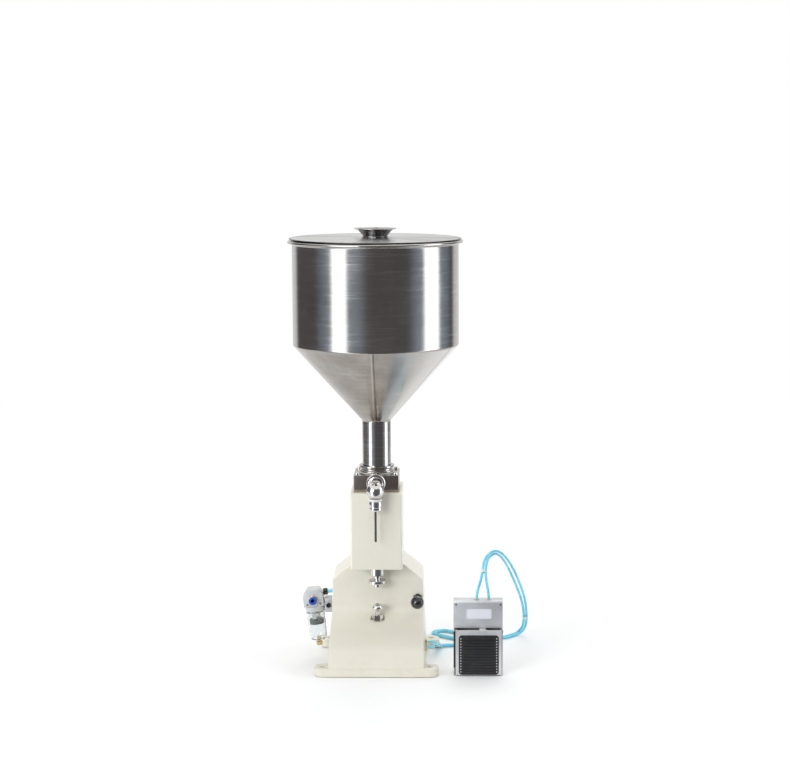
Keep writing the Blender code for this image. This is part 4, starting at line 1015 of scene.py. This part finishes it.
# %% Filter head, collar and bowl
FILTER = Matrix.Translation((-0.1002, 0.03, 0.07)) @ Matrix.Rotation(math.radians(-6.5), 4, "Y")
shape = mm((-16, 14.3), (16, 14.3), (16, 32.5), (9, 41.5), (-9, 41.5), (-16, 32.5))
cast = filleted(shape, 0.0015, steps=3)
layers = mm((1.2, -15), (0.4, -14.6), (0, -13.8), (0, 13.8), (0.4, 14.6), (1.2, 15))
head = loft("filter_head_cast", [(inward(cast, inset), depth) for inset, depth in layers], along="Y")
fit(head, "root", GREY_CASTING, "filter_head", tilt=FILTER)
ring = mm((10.8, 6), (14.6, 6), (15.3, 6.8), (15.3, 13.2), (14.6, 14), (10.8, 14))
fit(turned("filter_ring", ring, ring=True, steps=192, ripple=(32, 0.012)), "root", GREY_CASTING,
    "filter_collar", tilt=FILTER)
bowl = filleted(mm((10.5, 13.8), (10.5, 5.6), (14.6, 5.6), (14.1, -34.5), (12, -40.5), (8, -42.5),
                   (3.4, -42.5), (3.4, -40.7), (7.5, -40.7), (11, -39), (12.3, -33.5), (12.8, 3), (9, 5),
                   (9, 13.8)), 0.001, steps=3)
fit(turned("filter_bowl_clear", bowl, ring=True, steps=72), "root", CLEAR, "filter_bowl", tilt=FILTER)
print("filter body")

# %% Filter inside and fittings
element = filleted(mm((0.1, 12), (7, 12), (7, -7.7), (0.1, -7.7)), 0.0006, False, 3)
fit(turned("filter_core", element, steps=96, ripple=(24, 0.02)), "root", WHITE,
    "filter_element", tilt=FILTER)
baffle = filleted(mm((3, -8), (3, -16), (11.3, -16), (11.3, -8)), 0.0006, steps=2)
fit(turned("filter_skirt", baffle, ring=True), "root", RUBBER, "filter_baffle",
    tilt=FILTER, slot="black_plastic")
drain = mm((0.1, -37.5), (3, -37.5), (3, -44.7), (4.4, -45), (4.8, -45.5), (4.8, -50), (4, -51.3),
           (1.2, -51.5), (0.8, -50), (0.1, -50))
fit(turned("drain_pin", drain, steps=96, ripple=(16, 0.02)), "drain", BRASS, "filter_drain", tilt=FILTER)
IN, OUT = (0, 0, 0.026), (0, 0, 0.034)
hexagon = mm((5, 15.3), (6.4, 15.3), (6.6, 15.7, 6), (6.6, 19.1, 6), (6.2, 19.5), (5, 19.5))
fit(turned("inlet_hex", hexagon, at=IN, axis=FORWARD, ring=True), "root", BRASS, "filter_inlet",
    tilt=FILTER)
collet = filleted(mm((3.2, 16), (5.8, 16), (5.8, 20.5), (6.4, 21.5), (6.4, 25), (3.2, 25)), 0.0004, steps=3)
fit(turned("inlet_collet", collet, at=IN, axis=FORWARD, ring=True), "root", COLLET, tilt=FILTER)
inside = mm((0.1, 17), (3.1, 17), (3.1, 17.2), (0.1, 17.2))
fit(turned("inlet_bore", inside, at=IN, axis=FORWARD, steps=24), "root", RUBBER, tilt=FILTER)
push = filleted(mm((0.1, 16.3), (5, 16.3), (5.5, 18), (5.5, 22.5), (4.4, 23.5),
                   (0.1, 23.5)), 0.0004, False, 3)
fit(turned("outlet_push_in", push, at=OUT, axis=(1, 0, 0)), "root", GLOSS, "filter_outlet", tilt=FILTER)
stub = mm((0.1, 23.8), (3, 23.8), (3, 40), (0.1, 40))
fit(turned("filter_hose", stub, at=OUT, axis=(1, 0, 0), steps=40), "root", BLUE, "filter_tube",
    tilt=FILTER)
for i, x in enumerate((-0.0105, 0.0105)):
    cap_screw(f"filter_screw_{i}", (x, -0.0149, 0.0185), FORWARD, 0.0018, 0.0012, tilt=FILTER)
bracket = eased("filter_bracket", 0.0008)
fit(bracket, "root", ALUMINIUM, "filter_bracket")
cap_screw("bracket_screw", (-0.079, 0.0201, 0.086), FORWARD, 0.004, 0.0032, GLOSS)
print("filter")

# %% [markdown]
# ## Foot valve
# The foot valve stands on its toe. A blasted aluminium housing holds the valve; below it the pedal, a
# folded tray with a ribbed rubber mat, hinges on a pin. A plain pale label without any lettering
# fills the housing's front.

# %% Housing, base, valve and fittings
for node, width in (("foot_housing", 0.0012), ("foot_base", 0.0004), ("foot_valve_block", 0.0004)):
    fit(eased(node, width), "root", ALUMINIUM, node)
fit(eased("foot_pedal", 0.0006), "pedal", PEDAL, "foot_pedal")
# Painted shade: a thin black strip at the left edge of the base stands for the shadow gap beside the pedal.
strip = rectangle(0.1189, 0.012, 0.1212, 0.069, 0.0004)
fit(slab("painted_shadow_strip", strip, -0.0757, -0.0749, 0.0002, along="Y"), "root", RUBBER)
for node, material in (("foot_pin", BLOCK_STEEL), ("hose_ports", BRASS)):
    fit(eased(node, 0.0003), "root", material, node)
for name, x in (("foot_fitting_a", 0.1545), ("foot_fitting_b", 0.1731)):
    fitting = filleted(mm((1.2, 102.7), (2.7, 102.7), (2.7, 109.8), (4, 109.8), (4, 115.5), (3.4, 116),
                          (1.2, 116)), 0.0002, steps=2)
    fit(turned(name + "_turned", fitting, at=(x, -0.06, 0), ring=True, steps=48), "root", BRASS, name)
print("foot valve frame")


# %% [markdown]
# The mat is one height field over the pedal: broad ribs across it inside a plain border. Height is a
# function of the two coordinates, so the whole top is computed at once, and its corners are rounded
# like those of the real moulding. Down each side stands a column of small round studs.

# %% Ribbed mat
RIB, CORNER, MAT_BACK = 0.00434, 0.005, -0.0788


def mat_height(u, v):
    """Ribs: a rounded square wave in v, faded out before the side columns and the ends."""
    column = np.clip((0.0248 - np.abs(u)) / 0.001, 0, 1)
    wave = np.clip(1.9 * np.cos(2 * np.pi * v / RIB) + 0.55, 0, 1)
    ends = np.clip((0.0285 - np.abs(v)) / 0.0008, 0, 1)
    return 0.001 * wave * column * ends


middle_x, middle_z = (0.1268 + 0.1882) / 2, (0.0017 + 0.0638) / 2
u = np.linspace(0.1268, 0.1882, 130) - middle_x
v = np.linspace(0.0017, 0.0638, 330) - middle_z
U, V = np.meshgrid(u, v)
straight_u, straight_v = u[-1] - CORNER, v[-1] - CORNER
over_u, over_v = np.maximum(np.abs(U) - straight_u, 0), np.maximum(np.abs(V) - straight_v, 0)
corner = np.hypot(over_u, over_v)
pull = np.where(corner > CORNER, CORNER / np.maximum(corner, 1e-9), 1)
U = np.sign(U) * (np.minimum(np.abs(U), straight_u) + over_u * pull)
V = np.sign(V) * (np.minimum(np.abs(V), straight_v) + over_v * pull)
rim = np.clip((CORNER - corner) / 0.0008, 0, 1)
top = MAT_BACK - 0.0017 * np.sqrt(rim) - mat_height(U, V) * (rim >= 1)
print("mat ribs", round(float(MAT_BACK - top.min()) * 1000, 2), "mm proud")

# %% Mat mesh
front_face = np.stack([U + middle_x, top, V + middle_z], -1)
back_face = np.stack([U + middle_x, np.full_like(top, MAT_BACK), V + middle_z], -1)
rows, columns = top.shape
index = np.arange(rows * columns).reshape(rows, columns)
quads = np.stack([index[:-1, :-1], index[:-1, 1:], index[1:, 1:], index[1:, :-1]], -1).reshape(-1, 4)
edge = np.r_[index[0], index[1:, -1], index[-1, -2::-1], index[-2:0:-1, 0]]
side = np.stack([edge, np.roll(edge, -1), np.roll(edge, -1) + rows * columns, edge + rows * columns], -1)
back = (edge + rows * columns)[::-1]
mesh = bpy.data.meshes.new("pedal_mat")
mesh.from_pydata(np.vstack([front_face.reshape(-1, 3), back_face.reshape(-1, 3)]).tolist(), [],
                 quads.tolist() + side.tolist() + [back.tolist()])
mat = add_object("pedal_mat", mesh)
bm = bmesh.new()
bm.from_mesh(mesh)
bmesh.ops.delete(bm, geom=[vert for vert in bm.verts if not vert.link_faces], context="VERTS")
bm.to_mesh(mesh)
bm.free()
finish_mesh(mat, 60)
fit(mat, "pedal", RUBBER, "foot_mat")
stud = mm((0.1, 0), (0.9, 0), (0.8, 0.5), (0.5, 0.7), (0.1, 0.8))
spots = [(side_u + middle_x, k * RIB + middle_z) for side_u in (-0.0275, 0.0275) for k in range(-6, 7)]
studs = [turned_rows(stud, at=(x, -0.0806, z), axis=FORWARD, steps=10) for x, z in spots]
fit(shell("mat_studs", *studs), "pedal", PEDAL)
print("mat", len(mesh.polygons), "faces")

# %% Label, housing screws and pin heads
def label_print(coords):
    """A pale plate with a thin printed border and no lettering."""
    x, z = part(coords, "X"), part(coords, "Z")
    frame_line = (line(x, 0.14, 0.0004) + line(x, 0.176, 0.0004) + line(z, 0.0892, 0.0004)
                  + line(z, 0.1024, 0.0004))
    fine = noise(coords, 900)
    colour = mix(fine * 0.3, (0.8, 0.8, 0.85), (0.72, 0.72, 0.77))
    return {"Base Color": mix(frame_line * 0.5, colour, (0.42, 0.45, 0.5)), "Roughness": 0.3 + fine * 0.15}


plate = rectangle(0.1388, 0.088, 0.1772, 0.1036, 0.001)
label = slab("foot_label", plate, -0.073, -0.07248, 0.0001, along="Y")
fit(label, "root", finish("plain_label", "aluminium", label_print, Coat_Weight=0.2))
for i, x in enumerate((0.1225, 0.1906)):
    cap_screw(f"housing_screw_{i}", (x, -0.0725, 0.1105), FORWARD, 0.0016, 0.001)
dome = mm((0.1, 0), (3, 0), (3, 0.3), (2.4, 0.7), (0.1, 0.8))
for i, (x, way) in enumerate(((0.1188, -1), (0.1943, 1))):
    pin_head = turned(f"pin_head_{i}", dome, at=(x, -0.07, 0.0675), axis=(way, 0, 0), steps=32)
    fit(pin_head, "root", BLOCK_STEEL)
print("label and screws")

# %% [markdown]
# ## Springs
# Three springs work out of sight. What presses each one moves at a joint, and the spring shortens
# towards its seat by the same travel. Each is a plain copy of the model's coil, which stays its full
# length here; of each row's joint, seat and share, only the share is printed.

# %% Spring coils
for node, joint, seat, share in (("inlet_spring", "inlet_ball_drop", (0, -0.006, 0.2663), 0.7),
                                 ("nozzle_spring", "nozzle_ball_drop", (0, -0.062, 0.2563), 0.69),
                                 ("foot_spring", "plunger_push", (0.1638, -0.0585, 0.1067), 0.85)):
    coil = add_object(node + "_coil", frame["nodes"][node].data.copy())
    finish_mesh(coil)
    fit(coil, "root", BLOCK_STEEL, node)
    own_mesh(coil)
    print(node, "shortens to", share)

# %% [markdown]
# ## The rest of the model
# What is inside, or only just seen, keeps the model's own solid and gets the finish of its slot.

# %% Finishes for the remaining solids
PLAIN = (CREAM, BLOCK_STEEL, CHROME, ALUMINIUM, GREY_CASTING, BRASS, RUBBER, GLOSS, WHITE, BLUE, CLEAR)
BY_SLOT = {SLOTS[material.name]: material for material in PLAIN}
kept = 0
for part_row in frame["record"]["subparts"]:
    node = frame["nodes"][part_row["node"]]
    if not node.hide_render:
        node.data.materials.clear()
        node.data.materials.append(BY_SLOT[part_row["material_slot"]])
        kept += 1
print(kept, "solids keep the model's shape")

# %% [markdown]
# ## Studio
# Steel shows the room more than itself, so the room is what gives the hopper its bands: a white sweep
# behind and below, two tall strip lights at the sides, and a dark half in front. The world holds these
# as bands by direction; a soft lamp from the upper left makes the shading and the shadow.

# %% [markdown]
# The floor is seen whole, but in front of the machine its reflections and its bounce fade out, as if a
# dark floor began there. That keeps the chrome dark in the middle and stops the foot of the body from
# glowing.

# %% Floor
bpy.ops.mesh.primitive_plane_add(size=1, location=(0, 0, 0))
floor = bpy.context.object
floor.name = "studio_floor"
WIDE, DEEP = 3.0, 3.9
floor.data.transform(Matrix.Translation((0, 0.95, -0.0006)) @ Matrix.Diagonal((WIDE, DEEP, 1, 1)))


def floor_paper(coords):
    fibre = noise(coords, 300)
    return {"Base Color": mix(fibre * 0.2, (0.98, 0.98, 0.97), (0.95, 0.95, 0.94)),
            "Roughness": 0.75 + fibre * 0.1}


paper = finish("floor_paper", None, floor_paper, Specular_IOR_Level=0.2)
floor.data.materials.append(paper)
nodes, links = paper.node_tree.nodes, paper.node_tree.links
spot = Value(paper.node_tree, nodes.new("ShaderNodeTexCoord").outputs["Object"])
looked_at = Value(paper.node_tree, nodes.new("ShaderNodeLightPath").outputs["Is Camera Ray"])
faded = (1 - ramp(part(spot, "Y"), -0.26, -0.16)) * (1 - looked_at)
blend, clear = nodes.new("ShaderNodeMixShader"), nodes.new("ShaderNodeBsdfTransparent")
links.new(faded.socket, blend.inputs[0])
links.new(nodes["Principled BSDF"].outputs[0], blend.inputs[1])
links.new(clear.outputs[0], blend.inputs[2])
links.new(blend.outputs[0], nodes["Material Output"].inputs["Surface"])
print("floor fades for reflections in front of the machine")

# %% World light by direction
world = bpy.data.worlds.new("studio")
bpy.context.scene.world = world
world.use_nodes = True
tree = world.node_tree
ray = Value(tree, tree.nodes.new("ShaderNodeTexCoord").outputs["Generated"])
azimuth = turning(ray)


def band(low, high, soft):
    """1 between two azimuths in degrees, with soft sides."""
    return between(azimuth, low - soft, low + soft, high - soft, high + soft)


behind = ramp(ray.math("ABSOLUTE", azimuth), 132, 142)
soft_glow = band(-80, -16, 12) * 0.22 + band(55, 122, 10) * 0.24
strips = band(-61, -38, 1.5) * 2.5 + band(73, 100, 1.5) * 2.5
side = 0.15 + soft_glow + strips + behind * 0.75
lift = ramp(part(ray, "Z"), 0.42, 0.62)
room = side * (1 - lift) + lift * 1.02
seen = Value(tree, tree.nodes.new("ShaderNodeLightPath").outputs["Is Camera Ray"])
level = room * (1 - seen) + seen
warm = mix(ramp(level, 0.05, 0.3), (0.95, 0.8, 0.74), (0.82, 0.95, 1.15))
plain = mix(ramp(level, 0.5, 0.85), warm, (1.0, 1.0, 1.0))
tint = mix(ramp(level, 1.3, 2.0), plain, (0.95, 1.0, 1.07))
shader = tree.nodes["Background"]
tree.links.new(level.socket, shader.inputs["Strength"])
tree.links.new(tint.socket, shader.inputs["Color"])
print("world bands ready")


# %% Lamps
def lamp(name, at, aim, size, power):
    light = bpy.data.lights.new(name, "AREA")
    light.energy, light.size = power, size
    obj = add_object(name, light)
    obj.location = at
    obj.rotation_euler = (Vector(aim) - Vector(at)).to_track_quat("-Z", "Y").to_euler()


lamp("key", (-1.4, -2.6, 1.0), (0, 0, 0.2), 0.9, 25)
lamp("back", (0.3, 2.2, 2.6), (0, 0.4, 0.0), 1.6, 14)
bpy.context.scene.view_settings.view_transform = "Standard"
print("lamps on")

# %% Update the view layer
bpy.context.view_layer.update()
